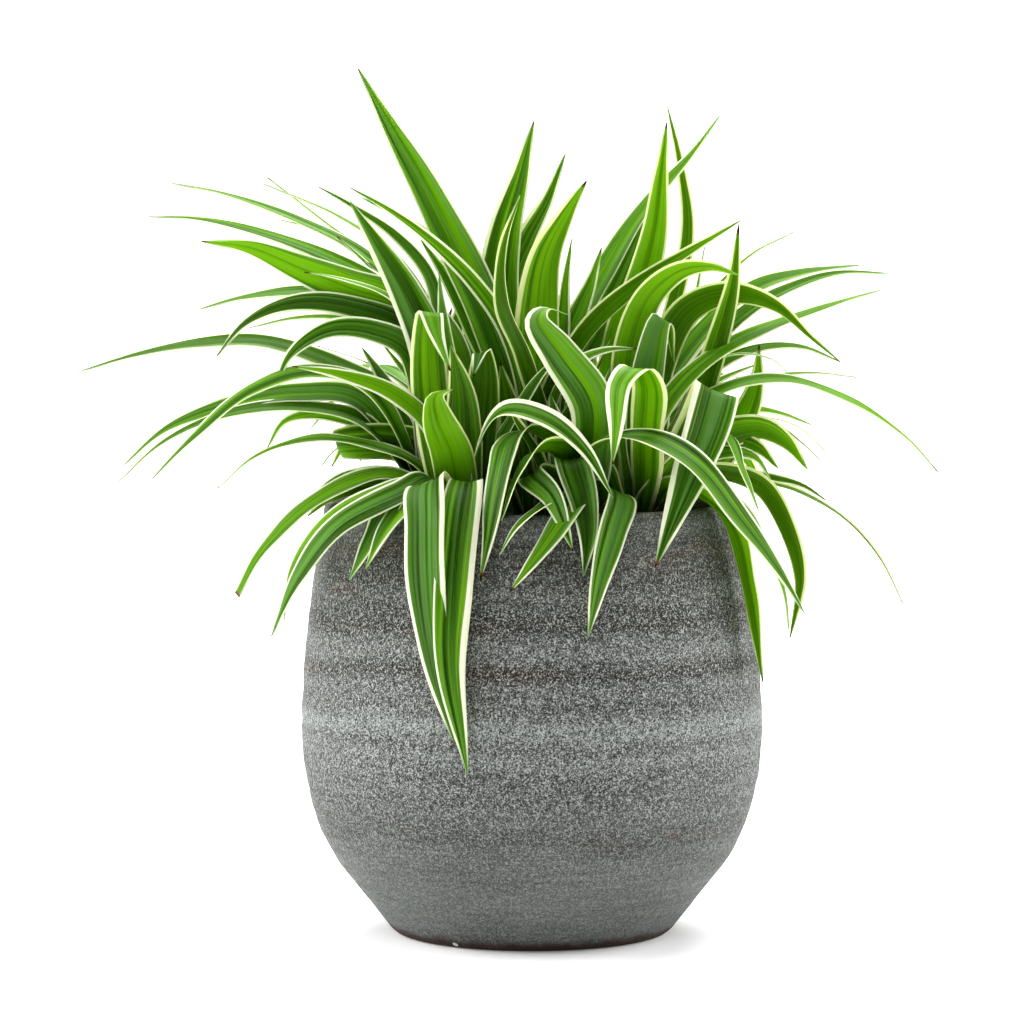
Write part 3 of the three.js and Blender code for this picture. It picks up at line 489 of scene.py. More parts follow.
def blade_mesh(crown, blade, margins, draw):
    """One blade, a closed body: its vertices, faces and surface coordinates, which points are on
    the underside, how much of the half blade is cream there, and the blade's length."""
    samples = smooth_curve(midrib(crown, blade["path"]))
    rough_length = np.linalg.norm(np.diff(samples, axis=0), axis=1).sum()
    count = max(int(rough_length / STATION_MM), MIN_STATIONS)
    centres, length = evenly_spaced(samples, count)
    tangents = np.gradient(centres, axis=0)
    tangents /= np.linalg.norm(tangents, axis=1)[:, None]
    lean = lean_of(crown, blade)
    side = np.array([-math.sin(lean), math.cos(lean), 0.0])
    phase = draw.uniform(0, 2 * math.pi)
    waves = draw.uniform(*RIPPLES_PER_LEAF)
    vertices, coordinates, undersides, cream = [], [], [], []
    for i, (centre, tangent) in enumerate(zip(centres, tangents)):
        along = i / count
        side = side - side.dot(tangent) * tangent
        side /= np.linalg.norm(side)
        turn = math.radians(blade["twist"]) * along
        across = math.cos(turn) * side + math.sin(turn) * np.cross(tangent, side)
        up = np.cross(tangent, across)
        half = blade["width"] / 2 * width_share(along, blade["cut"])
        rise = half * channel_depth(along)
        keel = (MIDRIB_THICKNESS * (1 - MIDRIB_THINNING * along)) / 2
        edge = MARGIN_THICKNESS / 2
        faded = smooth(along * RIPPLE_FADE_BASE) * smooth((1 - along) * RIPPLE_FADE_TIP)
        swell = RIPPLE_SHARE * half * faded
        phase_here = phase + waves * 2 * math.pi * along
        for top in (True, False):
            for j in range(ACROSS):
                u = -1 + 2 * j / (ACROSS - 1)
                bend = (1 - CHANNEL_ROUNDNESS) * abs(u) + CHANNEL_ROUNDNESS * u * u
                wave = swell * u * u * math.sin(phase_here + (RIPPLE_SHIFT if u > 0 else 0))
                thick = edge + (keel - edge) * (1 - abs(u)) ** MIDRIB_POWER
                height = rise * bend + wave + (thick if top else -thick)
                point = centre + across * (half * u) + up * height
                vertices.append(tuple(point * MM))
                coordinates.append(((u + 1) / 2, along))
                undersides.append(0.0 if top else 1.0)
                cream.append(min(margins[1 if u > 0 else 0] / half, WIDEST_MARGIN_SHARE))
    return vertices, blade_faces(count), coordinates, undersides, cream, length


def seeded_numbers(seed):
    """The same small 32-bit number source as the CAD source has, so that the sprays agree."""
    state = seed
    low_bits = 2 ** 32 - 1

    def draw():
        nonlocal state
        state = (state + 0x6D2B79F5) & low_bits
        mixed = ((state ^ (state >> 15)) * (1 | state)) & low_bits
        stirred = ((mixed ^ (mixed >> 7)) * (61 | mixed)) & low_bits
        mixed = ((mixed + stirred) & low_bits) ^ mixed
        return (mixed ^ (mixed >> 14)) / 2 ** 32

    return draw


def spray_leaves(crown, spray):
    """The leaves of one spray, evenly spaced with a seeded scatter."""
    x, y = crown["at"]
    kind = spray["kind"]
    draw = seeded_numbers(spray["seed"])

    def between(low, high):
        return low + (high - low) * draw()

    leaves = []
    for i in range(spray["count"]):
        heading = spray["start"] + (spray["end"] - spray["start"]) * (i + 0.5) / spray["count"]
        heading += between(-kind["scatter"], kind["scatter"])
        length = between(*kind["lengths"])
        rise = between(*kind["rise"])
        droop = between(*kind["droop"])
        width = between(*kind["widths"])
        twist = between(-kind["twist"], kind["twist"])
        out, height = ROOT_OFFSETS[1], ROOT_HEIGHTS[1]
        turn = math.radians(heading)
        path = []
        for step in range(1, SPRAY_POINTS + 1):
            slope = math.radians(rise + (droop - rise) * (step / SPRAY_POINTS) ** SPRAY_BEND)
            out += length / SPRAY_POINTS * math.cos(slope)
            height += length / SPRAY_POINTS * math.sin(slope)
            path.append((x + out * math.cos(turn), y + out * math.sin(turn), height))
        leaves.append(leaf(width, heading, *path, twist=twist))
    return leaves


def stub_mesh(crown):
    """The crown's thick base, turned about its own axis."""
    x, y = crown["at"]
    sides = STUB_SIDES
    vertices = []
    for radius, height in STUB_PROFILE:
        for i in range(sides):
            angle = 2 * math.pi * i / sides
            corner = (x + radius * math.cos(angle), y + radius * math.sin(angle), height)
            vertices.append(tuple(value * MM for value in corner))
    faces = [tuple(reversed(range(sides)))]
    last = (len(STUB_PROFILE) - 1) * sides
    for a in range(0, last, sides):
        b = a + sides
        for i in range(sides):
            j = (i + 1) % sides
            faces.append((a + i, a + j, b + j, b + i))
    faces.append(tuple(range(last, last + sides)))
    return vertices, faces


# What the leaf material reads at each point, with its value on a crown's base
STUB_LOOKS = {"leaf_seed": 0.5, "leaf_under": 0.0, "leaf_dry": 0.0, "leaf_margin": 0.0, "leaf_painted_light": 0.0}


def build_crown(crown, number, material):
    """One crown as one piece: its base and its blades, with what the leaf material reads."""
    draw = random.Random(LEAF_SEED + number)
    vertices, faces = stub_mesh(crown)
    coordinates = [(0.5, 0.0)] * len(vertices)
    looks = {name: [value] * len(vertices) for name, value in STUB_LOOKS.items()}
    blades = list(crown["leaves"])
    for spray in crown["sprays"]:
        blades += spray_leaves(crown, spray)
    for blade in blades:
        common = (draw.uniform(*COMMON_MARGIN_MM), draw.uniform(*COMMON_MARGIN_MM))
        margins = blade["margins"] or common
        points, quads, surface, under, cream, length = blade_mesh(crown, blade, margins, draw)
        first = len(vertices)
        vertices += points
        faces += [tuple(first + corner for corner in quad) for quad in quads]
        coordinates += surface
        common_dry = draw.choice(COMMON_DRY_TIPS_MM)
        dry = common_dry if blade["dry"] is None else blade["dry"]
        looks["leaf_seed"] += [draw.random()] * len(points)
        looks["leaf_under"] += under
        looks["leaf_dry"] += [dry / length] * len(points)
        looks["leaf_margin"] += cream
        looks["leaf_painted_light"] += [blade["painted_light"]] * len(points)
    piece = mesh_object(crown["name"] + "_leaves", vertices, faces)
    layer = piece.data.uv_layers.new(name="UVMap")
    corners = np.empty(len(piece.data.loops), dtype=np.int64)
    piece.data.loops.foreach_get("vertex_index", corners)
    layer.data.foreach_set("uv", np.array(coordinates)[corners].ravel())
    for name, values in looks.items():
        piece.data.attributes.new(name, "FLOAT", "POINT").data.foreach_set("value", values)
    dress(piece, crown["name"], material)


# Materials

LEAF_DEEP = srgb(16, 44, 2)
LEAF_GREEN = srgb(62, 112, 8)
LEAF_FRESH = srgb(134, 182, 22)
# LEAF_GREY is the painted sheen of the upper face, and also the grey-green haze inside the margins
LEAF_GREY = srgb(124, 166, 98)
LEAF_MARGIN = srgb(250, 250, 236)
LEAF_MARGIN_BACKLIT = srgb(238, 242, 192)
LEAF_INNER_LINE = srgb(186, 206, 116)
LEAF_DRY = srgb(150, 112, 62)
LEAF_DRY_DARK_AND_SHADE = srgb(54, 40, 28)
LEAF_STREAK = srgb(150, 190, 116)
LEAF_GLOW = srgb(198, 238, 48)
LEAF_MARGIN_GLOW = srgb(250, 252, 214)
LEAF_GLOW_SHARE = 0.37
LEAF_NOISE_SPAN = 61.0
SEEDED_FRESHNESS = 0.2
# How much the painted light of a leaf lit through from behind brightens its bands
PAINTED_LIGHT_GAIN = 0.16

# Layers of the leaf's colour: where each starts and is full, then how strong it is at both
GREEN_LAYER = (0.38, 0.54)
FRESH_LAYER = (0.50, 0.68)
VEIN_LAYER = (0.42, 0.66, 0.0, 0.32)
STREAK_LAYER = (0.54, 0.66, 0.0, 0.3)
CREASE_SHADE_LAYER = (0.0, 0.08, 0.5, 0.0)
PAINTED_SHEEN_LAYER = (0.46, 0.66, 0.04, 0.78)
MARGIN_HAZE_LAYER = (-0.12, -0.02, 0.0, 0.55)
INNER_LINE_LAYER = (0.46, 0.56, 0.0, 0.6)
MARGIN_LAYER = (-0.03, 0.025)
MARGIN_SHADE_AT_BASE = (0.02, 0.24, 0.3, 1.0)
MARGIN_AT_TIP = (0.9, 0.99, 1.0, 0.35)
CROWN_SHADE_LAYER = (0.0, 0.26, 0.6, 0.0)
DRY_LAYER = (-0.008, 0.004)
DRY_DARK_LAYER = (0.0, 0.012)


def leaf_material():
    g = Graph("variegated_leaf")
    uv = g.node("UVMap", uv_map="UVMap").outputs["UV"]
    split = g.node("SeparateXYZ", {0: uv})
    u, v = split.outputs[0], split.outputs[1]
    seed, under, dry, margin, painted_light = (g.attribute(name) for name in STUB_LOOKS)
    from_midrib = g.math("ABSOLUTE", g.math("MULTIPLY_ADD", u, 2.0, -1.0))
    seed_far = g.times(seed, LEAF_NOISE_SPAN)

    def streaked(across, along, detail=1.0, shift=0.0):
        """Noise drawn out along the blade: how quickly it changes across it and along it."""
        place = g.vector(g.math("MULTIPLY_ADD", u, across, seed_far),
                         g.math("MULTIPLY_ADD", v, along, shift), seed_far)
        return g.noise(place, 1.0, detail=detail)

    # Long bands of darker, fresher and greyer green that run from base to tip, with fine veins
    bands = streaked(5.0, 0.8, detail=3.0)
    grey_bands = streaked(6.0, 0.7, shift=9.0)
    near_tip = g.ramp(v, 0.55, 0.85)
    veins = g.mix_value(near_tip, streaked(36.0, 2.2), 0.5)
    own_share = g.math("FRACT", g.times(seed, 7.0))
    fresher = g.math("MULTIPLY_ADD", own_share, SEEDED_FRESHNESS, -SEEDED_FRESHNESS / 2)
    # Painted light: a leaf lit through from behind gets brighter, yellower bands
    bands = g.plus(bands, g.math("MULTIPLY_ADD", painted_light, PAINTED_LIGHT_GAIN, fresher))
    green = g.mix(g.ramp(bands, *GREEN_LAYER), LEAF_DEEP, LEAF_GREEN)
    green = g.mix(g.ramp(bands, *FRESH_LAYER), green, LEAF_FRESH)
    green = g.mix(g.ramp(veins, *VEIN_LAYER), green, LEAF_FRESH)
    green = g.mix(g.ramp(streaked(17.0, 0.5), *STREAK_LAYER), green, LEAF_STREAK)
    # Painted shade: darker green in the crease along the midrib
    green = g.mix(g.ramp(from_midrib, *CREASE_SHADE_LAYER), green, LEAF_DEEP)

    # Painted sheen: only the upper face has the grey sheen, in bands, and leaves with painted light have
    # less of it
    upper = g.math("SUBTRACT", 1.0, g.math("MAXIMUM", under, g.times(painted_light, 0.8)))
    painted_sheen = g.times(g.ramp(grey_bands, *PAINTED_SHEEN_LAYER), upper)
    green = g.mix(painted_sheen, green, LEAF_GREY)
    # Painted light: the underside is brighter and yellower, as if lit through
    green = g.mix(g.times(under, 0.2), green, LEAF_FRESH)

    # Cream margins of uneven width, often with a fine pale line inside them. On the underside the cream has
    # a painted backlit yellow tint.
    wander_place = g.vector(g.times(u, 1.2), g.times(v, 4.0), seed_far)
    wander = g.math("MULTIPLY_ADD", g.noise(wander_place, 1.0, detail=2.0), 0.5, 0.75)
    inner_edge = g.math("SUBTRACT", 1.0, g.times(margin, wander))
    past_edge = g.math("SUBTRACT", from_midrib, inner_edge)
    green = g.mix(g.ramp(past_edge, *MARGIN_HAZE_LAYER), green, LEAF_GREY)
    line_at = g.math("ABSOLUTE", g.plus(past_edge, g.math("MULTIPLY_ADD", seed, 0.16, 0.10)))
    line = g.times(g.ramp(line_at, 0.035, 0.0), g.ramp(grey_bands, *INNER_LINE_LAYER))
    green = g.mix(line, green, LEAF_INNER_LINE)
    cream = g.mix(under, LEAF_MARGIN, LEAF_MARGIN_BACKLIT)
    # Painted shade: the cream fades out near the base, in the crown's shade; it fades towards the tip as
    # well
    ends = g.times(g.ramp(v, *MARGIN_SHADE_AT_BASE), g.ramp(v, *MARGIN_AT_TIP))
    in_margin = g.times(g.ramp(past_edge, *MARGIN_LAYER), ends)
    colour = g.mix(in_margin, green, cream)

    # Painted shade: the blade darkens into the crown
    painted_crown_shade = g.ramp(v, *CROWN_SHADE_LAYER)
    colour = g.mix(painted_crown_shade, colour, LEAF_DEEP)

    # Dry tips with a ragged edge
    ragged = g.noise(g.vector(g.times(u, 6.0), v, seed_far), 3.0)
    dry_edge = g.math("SUBTRACT", 1.0, g.times(dry, g.add_spread(1.0, ragged, 0.6)))
    past_dry = g.math("SUBTRACT", v, dry_edge)
    is_dry = g.times(g.math("GREATER_THAN", dry, 0.001), g.ramp(past_dry, *DRY_LAYER))
    dry_colour = g.mix(g.ramp(past_dry, *DRY_DARK_LAYER), LEAF_DRY, LEAF_DRY_DARK_AND_SHADE)
    colour = g.mix(is_dry, colour, dry_colour)

    # Fine ribs that fade towards the tip, and light that comes through the blade
    rough = g.ramp(veins, 0.3, 0.7, 0.38, 0.5)
    ribs = g.math("SINE", g.times(u, 90.0))
    relief = g.math("MULTIPLY_ADD", ribs, g.ramp(v, 0.5, 0.8, 0.35, 0.0), g.times(veins, 0.9))
    normal = g.bump(0.3, 0.00025, relief)
    face = g.node("BsdfPrincipled", {"Base Color": colour, "Roughness": rough, "Normal": normal,
                                     "IOR": 1.4, "Specular IOR Level": 0.22})
    glow_colour = g.mix(in_margin, g.mix(0.3, LEAF_GLOW, green), LEAF_MARGIN_GLOW)
    # The light through the blade turns dark on dry tips, and as painted shade in the crown
    glow_colour = g.mix(g.math("MAXIMUM", is_dry, painted_crown_shade), glow_colour, LEAF_DRY_DARK_AND_SHADE)
    glow = g.node("BsdfTranslucent", {"Color": glow_colour, "Normal": normal})
    both = g.node("MixShader", {0: LEAF_GLOW_SHARE, 1: face.outputs[0], 2: glow.outputs[0]})
    return g.show(both.outputs[0])


POT_DARK = srgb(54, 53, 48)
POT_LIGHT = srgb(133, 137, 135)
POT_RUST = srgb(92, 74, 64)
POT_SPECK_LIGHT = srgb(192, 194, 191)
POT_SPECK_DARK = srgb(34, 32, 29)
POT_FOOT_DARK_LINE = srgb(66, 44, 34)
POT_CHIP = srgb(214, 212, 204)

# Chips at the foot: where, and the radius, all in metres
POT_CHIPS = ((-0.0376, -0.0600, 0.0022, 0.0016), (-0.0209, -0.0690, 0.0012, 0.0013))
CHIP_RAGGED = 0.0008
CHIP_SOFT_EDGE = 0.0006

# Rings in the glaze, and a wide dark ring of painted shade from the leaves at the top: height and
# half height in metres, and how much lighter or darker
POT_RINGS_AND_SHADE = ((0.112, 0.009, 0.48), (0.098, 0.008, 0.22), (0.130, 0.006, 0.04), (0.139, 0.007, -0.34),
             (0.149, 0.006, 0.14), (0.163, 0.011, -0.36), (0.177, 0.006, 0.10), (0.190, 0.030, -0.36),
             (0.060, 0.010, -0.10))
RING_SWAY = 0.018
RUST_LAYER = (0.54, 0.7, 0.0, 0.45)
FOOT_DARK_LINE_LAYER = (-0.001, 0.004, 0.9, 0.0)

# How strong the sandy specks are by height, and where they turn light or dark
SAND_AT_FOOT = (0.03, 0.10, 0.4, 1.0)
SAND_AT_RIM = (0.165, 0.205, 1.0, 0.6)
LIGHT_SAND = (0.51, 0.61)
LIGHT_SAND_SHARE = 0.66
DARK_SAND = (0.49, 0.39)
DARK_SAND_SHARE = 0.82


def pot_material():
    g = Graph("pot_ceramic")
    place = g.node("TexCoord").outputs["Object"]
    split = g.node("SeparateXYZ", {0: place})
    x, y, z = split.outputs[0], split.outputs[1], split.outputs[2]

    def stretched(across, up, detail=2.0, roughness=0.5):
        """Noise with its own scale across the pot and up it."""
        stretch = g.vector(g.times(x, across), g.times(y, across), g.times(z, up))
        return g.noise(stretch, 1.0, detail=detail, roughness=roughness)

    # The rings of lighter and darker glaze, and the painted shade at the top, wander up and down a
    # little round the pot
    level = g.add_spread(z, stretched(7.0, 9.0, detail=3.0), RING_SWAY)
    # Painted light: the tone is lighter towards the foot, where the wall curves under into shade
    tone = g.ramp(z, 0.02, 0.06, 0.66, 0.5)
    for height, half, strength in POT_RINGS_AND_SHADE:
        away = g.math("ABSOLUTE", g.math("SUBTRACT", level, height))
        tone = g.plus(tone, g.ramp(away, half, 0.0, 0.0, strength))
    narrow = stretched(11.0, 190.0, detail=3.0, roughness=0.6)
    lines = stretched(26.0, 620.0, roughness=0.6)
    patches = stretched(24.0, 60.0)
    tone = g.add_spread(tone, narrow, 0.5)
    tone = g.add_spread(tone, lines, 0.5)
    tone = g.add_spread(tone, patches, 0.3, clamp=True)
    glaze = g.mix(tone, POT_DARK, POT_LIGHT)
    rusty = g.times(g.ramp(stretched(20.0, 110.0), *RUST_LAYER), g.ramp(tone, 0.55, 0.25))
    glaze = g.mix(rusty, glaze, POT_RUST)

    # Fine sandy specks, fewer near the rim and the foot
    grain = g.noise(place, 1300.0, detail=1.5, roughness=0.7)
    coarse = g.noise(place, 520.0, detail=1.0, roughness=0.6)
    mixed = g.plus(g.times(grain, 0.75), g.times(coarse, 0.25))
    sandy = g.times(g.ramp(z, *SAND_AT_FOOT), g.ramp(z, *SAND_AT_RIM))
    light = g.times(g.ramp(mixed, *LIGHT_SAND), g.times(sandy, LIGHT_SAND_SHARE))
    dark = g.times(g.ramp(mixed, *DARK_SAND), g.times(sandy, DARK_SAND_SHARE))
    colour = g.mix(light, glaze, POT_SPECK_LIGHT)
    colour = g.mix(dark, colour, POT_SPECK_DARK)

    # A dark reddish line where the foot meets the table, and two small chips
    foot_noise = stretched(60.0, 60.0, detail=3.0)
    foot_level = g.plus(z, g.times(foot_noise, -0.006))
    colour = g.mix(g.ramp(foot_level, *FOOT_DARK_LINE_LAYER), colour, POT_FOOT_DARK_LINE)
    for *middle, size in POT_CHIPS:
        offset = g.node("VectorMath", {0: place, 1: middle}, operation="DISTANCE").outputs["Value"]
        ragged = g.plus(offset, g.times(g.noise(place, 900.0), CHIP_RAGGED))
        colour = g.mix(g.ramp(ragged, size + CHIP_SOFT_EDGE, size), colour, POT_CHIP)

    rough = g.ramp(mixed, 0.35, 0.65, 0.85, 0.6)
    relief = g.plus(g.times(mixed, sandy), g.times(narrow, 0.5))
    normal = g.bump(0.7, 0.0006, relief)
    clay = g.node("BsdfPrincipled", {"Base Color": colour, "Roughness": rough, "Normal": normal,
                                     "IOR": 1.45})
    return g.show(clay.outputs[0])


def soil_material():
    g = Graph("potting_compost")
    place = g.node("TexCoord").outputs["Object"]
    lumps = g.noise(place, 180.0, detail=6.0, roughness=0.7)
    fibres = g.noise(place, 700.0, detail=3.0, roughness=0.7, distortion=1.5)
    colour = g.mix(g.ramp(lumps, 0.35, 0.65), srgb(30, 21, 14), srgb(74, 52, 36))
    colour = g.mix(g.ramp(fibres, 0.58, 0.72, 0.0, 0.7), colour, srgb(126, 96, 66))
    relief = g.plus(lumps, g.times(fibres, 0.5))
    normal = g.bump(0.9, 0.0015, relief)
    earth = g.node("BsdfPrincipled", {"Base Color": colour, "Roughness": 0.95, "Normal": normal})
    return g.show(earth.outputs[0])


def liner_material():
    g = Graph("nursery_pot_plastic")
    place = g.node("TexCoord").outputs["Object"]
    grain = g.noise(place, 1400.0, detail=2.0)
    scuffs = g.noise(place, 60.0, detail=5.0, roughness=0.7)
    colour = g.mix(g.ramp(scuffs, 0.5, 0.75, 0.0, 0.6), srgb(26, 25, 24), srgb(64, 60, 55))
    normal = g.bump(0.3, 0.0002, grain)
    rough = g.ramp(scuffs, 0.4, 0.7, 0.42, 0.65)
    plastic = g.node("BsdfPrincipled", {"Base Color": colour, "Roughness": rough, "Normal": normal})
    return g.show(plastic.outputs[0])


def floor_material():
    g = Graph("studio_floor")
    paper = g.node("BsdfPrincipled", {"Base Color": (0.93, 0.93, 0.93, 1.0), "Roughness": 0.9,
                                      "Specular IOR Level": 0.1, "Emission Color": (1.0, 1.0, 1.0, 1.0),
                                      "Emission Strength": 0.12})
    return g.show(paper.outputs[0])


# Turned pieces

def turned_faces(sides, rows):
    """Faces of a closed turned body: a bottom point, rows of points, and a top point."""
    faces = []
    top, last = 1 + (rows - 1) * sides, 1 + rows * sides
    for i in range(sides):
        j = (i + 1) % sides
        faces.append((0, 1 + j, 1 + i))
        for a in range(1, top, sides):
            faces.append((a + i, a + j, a + sides + j, a + sides + i))
        faces.append((top + i, top + j, last))
    return faces


def turned_mesh(profile, sides, swell=None):
    """A closed body turned about Z from a profile of (radius, height) whose ends lie on the axis."""
    vertices = [(0.0, 0.0, profile[0][1] * MM)]
    for radius, height in profile[1:-1]:
        for i in range(sides):
            angle = 2 * math.pi * i / sides
            r = radius + (swell(radius, height, angle) if swell else 0.0)
            vertices.append((r * math.cos(angle) * MM, r * math.sin(angle) * MM, height * MM))
    vertices.append((0.0, 0.0, profile[-1][1] * MM))
    return vertices, turned_faces(sides, len(profile) - 2)


POT_OUTER_WALL = ((73.5, 5), (86, 21), (99.3, 38.5), (108.7, 58.5), (114.5, 86), (115.5, 103.5),
                  (113.4, 143), (107.5, 190), (104.3, 210))
POT_WALL = 8.6
POT_FLOOR = 12
POT_FLOOR_ROUNDING = (3.0, 0.6)
POT_FOOT_RADIUS = 70.5
POT_FOOT = ((0, 0), (30, 0), (66, 0), (68.8, 0.4), (POT_FOOT_RADIUS, 1.5), (72, 3))
RIM_CENTRE = (99.7, 210.2)
RIM_HALF_WIDTH = 4.6
RIM_RISE = 6
RIM_STEPS = 12
POT_WALL_STEPS = 130
INNER_WALL_STRIDE = 3
POT_SIDES = 256

# Unevenness of the outer wall: scale round the pot, scale up it, and size
TURNING_RINGS = (0.012, 0.11, 0.45)
HAMMERED_DENTS = (0.22, 0.26, 0.22)
SWELL_FADE_FOOT = 30
SWELL_FADE_RIM = 25
SWELL_TOP = 214
SWELL_SHIFT = -0.1


def pot_profile():
    wall, _ = evenly_spaced(smooth_curve(POT_OUTER_WALL), POT_WALL_STEPS)
    tangents = np.gradient(wall, axis=0)
    tangents /= np.linalg.norm(tangents, axis=1)[:, None]
    inner = wall + np.stack([-tangents[:, 1], tangents[:, 0]], axis=1) * POT_WALL
    inner = [point for point in inner[::INNER_WALL_STRIDE] if point[1] > POT_FLOOR + 2]
    rim = []
    for i in range(1, RIM_STEPS):
        angle = math.pi * i / RIM_STEPS
        rim.append((RIM_CENTRE[0] + RIM_HALF_WIDTH * math.cos(angle),
                    RIM_CENTRE[1] + RIM_RISE * math.sin(angle)))
    inward, upward = POT_FLOOR_ROUNDING
    floor_radius = inner[0][0] - POT_WALL
    floor = [(inner[0][0] - inward, POT_FLOOR + upward), (floor_radius, POT_FLOOR),
             (floor_radius / 2, POT_FLOOR), (0, POT_FLOOR)]
    return [*POT_FOOT, *wall, *rim, *inner[::-1], *floor]


def pot_swell(radius, height, angle):
    """Slight hand-made unevenness of the outer wall: soft turning rings and small hammered dents."""
    if height < 1 or radius < POT_FOOT_RADIUS:
        return 0.0
    fade = smooth(height / SWELL_FADE_FOOT) * smooth((SWELL_TOP - height) / SWELL_FADE_RIM)
    x, y = radius * math.cos(angle), radius * math.sin(angle)
    swell = 0.0
    for around, up, size in (TURNING_RINGS, HAMMERED_DENTS):
        swell += noise.noise((x * around, y * around, height * up)) * size
    return fade * swell + SWELL_SHIFT


def build_pot():
    vertices, faces = turned_mesh(pot_profile(), POT_SIDES, pot_swell)
    piece = mesh_object("pot_body", vertices, faces)
    dress(piece, "pot", pot_material())


LINER_WALL = 1.5
LINER_BOTTOM = 12.3
LINER_FOOT_RADIUS = 57
LINER_TOP_RADIUS = 85
LINER_TOP = 203
LINER_LIP_DEPTH = 7
LINER_LIP_RADIUS = 89
LINER_FOOT_RISE = 1.4
LINER_ROUNDING = 0.6
LINER_STEPS = 9
LINER_SIDES = 96
DRAIN_HOLES = 4
DRAIN_HOLE_RADIUS = 5
DRAIN_HOLE_CIRCLE = 34
DRAIN_HOLE_SIDES = 24
DRAIN_CUT = (5, 20)


def liner_radius(height):
    share = (height - LINER_BOTTOM) / (LINER_TOP - LINER_BOTTOM)
    return LINER_FOOT_RADIUS + (LINER_TOP_RADIUS - LINER_FOOT_RADIUS) * share


def liner_profile():
    low, top = LINER_TOP - LINER_LIP_DEPTH, LINER_TOP
    foot_top = LINER_BOTTOM + LINER_FOOT_RISE
    floor_top = LINER_BOTTOM + LINER_WALL
    foot, lip, mouth = LINER_FOOT_RADIUS, LINER_LIP_RADIUS, LINER_TOP_RADIUS - LINER_WALL
    profile = [(0, LINER_BOTTOM), (foot - 1, LINER_BOTTOM), (foot - 0.2, LINER_BOTTOM + 0.4),
               (foot + 0.2, foot_top)]
    for step in range(1, LINER_STEPS + 1):
        height = foot_top + (low - foot_top) * step / LINER_STEPS
        profile.append((liner_radius(height), height))
    profile += [(lip - 0.5, low), (lip, low + 0.5), (lip, top - LINER_ROUNDING),
                (lip - LINER_ROUNDING, top), (mouth + 0.5, top), (mouth, top - LINER_ROUNDING)]
    for step in reversed(range(LINER_STEPS)):
        height = floor_top + LINER_ROUNDING + (top - floor_top - 2) * step / LINER_STEPS
        profile.append((liner_radius(height) - LINER_WALL, height))
    return [*profile, (foot - LINER_WALL - 1, floor_top), (0, floor_top)]


def cut_drain_hole(piece, x, y):
    low, high = DRAIN_CUT
    pin = [(0, low), (DRAIN_HOLE_RADIUS, low), (DRAIN_HOLE_RADIUS, high), (0, high)]
    points, faces = turned_mesh(pin, DRAIN_HOLE_SIDES)
    points = [(px + x * MM, py + y * MM, pz) for px, py, pz in points]
    cutter = mesh_object("drain_cutter", points, faces)
    cut = piece.modifiers.new("drain", "BOOLEAN")
    cut.operation = "DIFFERENCE"
    cut.object = cutter
    evaluated = piece.evaluated_get(bpy.context.evaluated_depsgraph_get())
    cut_mesh = bpy.data.meshes.new_from_object(evaluated)
    piece.modifiers.clear()
    piece.data = cut_mesh
    bpy.data.objects.remove(cutter)


def build_liner():
    piece = mesh_object("grow_pot_liner", *turned_mesh(liner_profile(), LINER_SIDES))
    for i in range(DRAIN_HOLES):
        angle = (i + 0.5) * 2 * math.pi / DRAIN_HOLES
        cut_drain_hole(piece, DRAIN_HOLE_CIRCLE * math.cos(angle), DRAIN_HOLE_CIRCLE * math.sin(angle))
    dress(piece, "grow_pot", liner_material())


SOIL_TOP = 194
SOIL_BOTTOM = LINER_BOTTOM + LINER_WALL + 0.3
SOIL_GAP = 0.6
SOIL_SIDES = 120
SOIL_RINGS = 34
SOIL_SIDE_HEIGHTS = (60, 110, 160, 188)
SOIL_LUMP = 1.6
LONG_WAVE = (9, 11)
SHORT_WAVE = (4, 5)
SHORT_WAVE_SHARE = 0.5
SOIL_CRUMBLE = 1.3
SOIL_CRUMBLE_SCALE = 0.25

# Loose crumbs on the soil, in millimetres and in shares of a crumb's radius
CRUMBS = 420
CRUMB_RADIUS = (0.8, 2.3)
CRUMB_EDGE = 4
CRUMB_RISE = 0.2
CRUMB_STRETCH = (0.7, 1.4)
CRUMB_DENTS = (0.75, 1.15)
CRUMB_FLATNESS = 0.8
CRUMB_ROWS = 3
CRUMB_SIDES = 7
CRUMB_SEED = 7


def soil_height(x, y):
    """The lumpy top: the CAD source's waves, with finer crumbling on them."""
    waves = math.sin(x / LONG_WAVE[0]) * math.cos(y / LONG_WAVE[1])
    waves += SHORT_WAVE_SHARE * math.sin(x / SHORT_WAVE[0] + y / SHORT_WAVE[1])
    crumble = noise.noise((x * SOIL_CRUMBLE_SCALE, y * SOIL_CRUMBLE_SCALE, 3.0))
    return SOIL_TOP + SOIL_LUMP * waves + SOIL_CRUMBLE * crumble


def crumb(draw, x, y, z, size):
    """A small uneven lump of compost: a stretched, dented ball."""
    stretch = [size * draw.uniform(*CRUMB_STRETCH) for _ in range(3)]
    turn = draw.uniform(0, math.pi)
    ball = [(0, 0, -1)]
    for row in range(1, CRUMB_ROWS + 1):
        tilt = math.pi * row / (CRUMB_ROWS + 1)
        for i in range(CRUMB_SIDES):
            angle = 2 * math.pi * i / CRUMB_SIDES + turn
            out = draw.uniform(*CRUMB_DENTS) * math.sin(tilt)
            ball.append((out * math.cos(angle), out * math.sin(angle), -math.cos(tilt)))
    ball.append((0, 0, 1))
    placed = [((x + stretch[0] * bx) * MM, (y + stretch[1] * by) * MM,
               (z + stretch[2] * CRUMB_FLATNESS * bz) * MM) for bx, by, bz in ball]
    return placed, turned_faces(CRUMB_SIDES, CRUMB_ROWS)


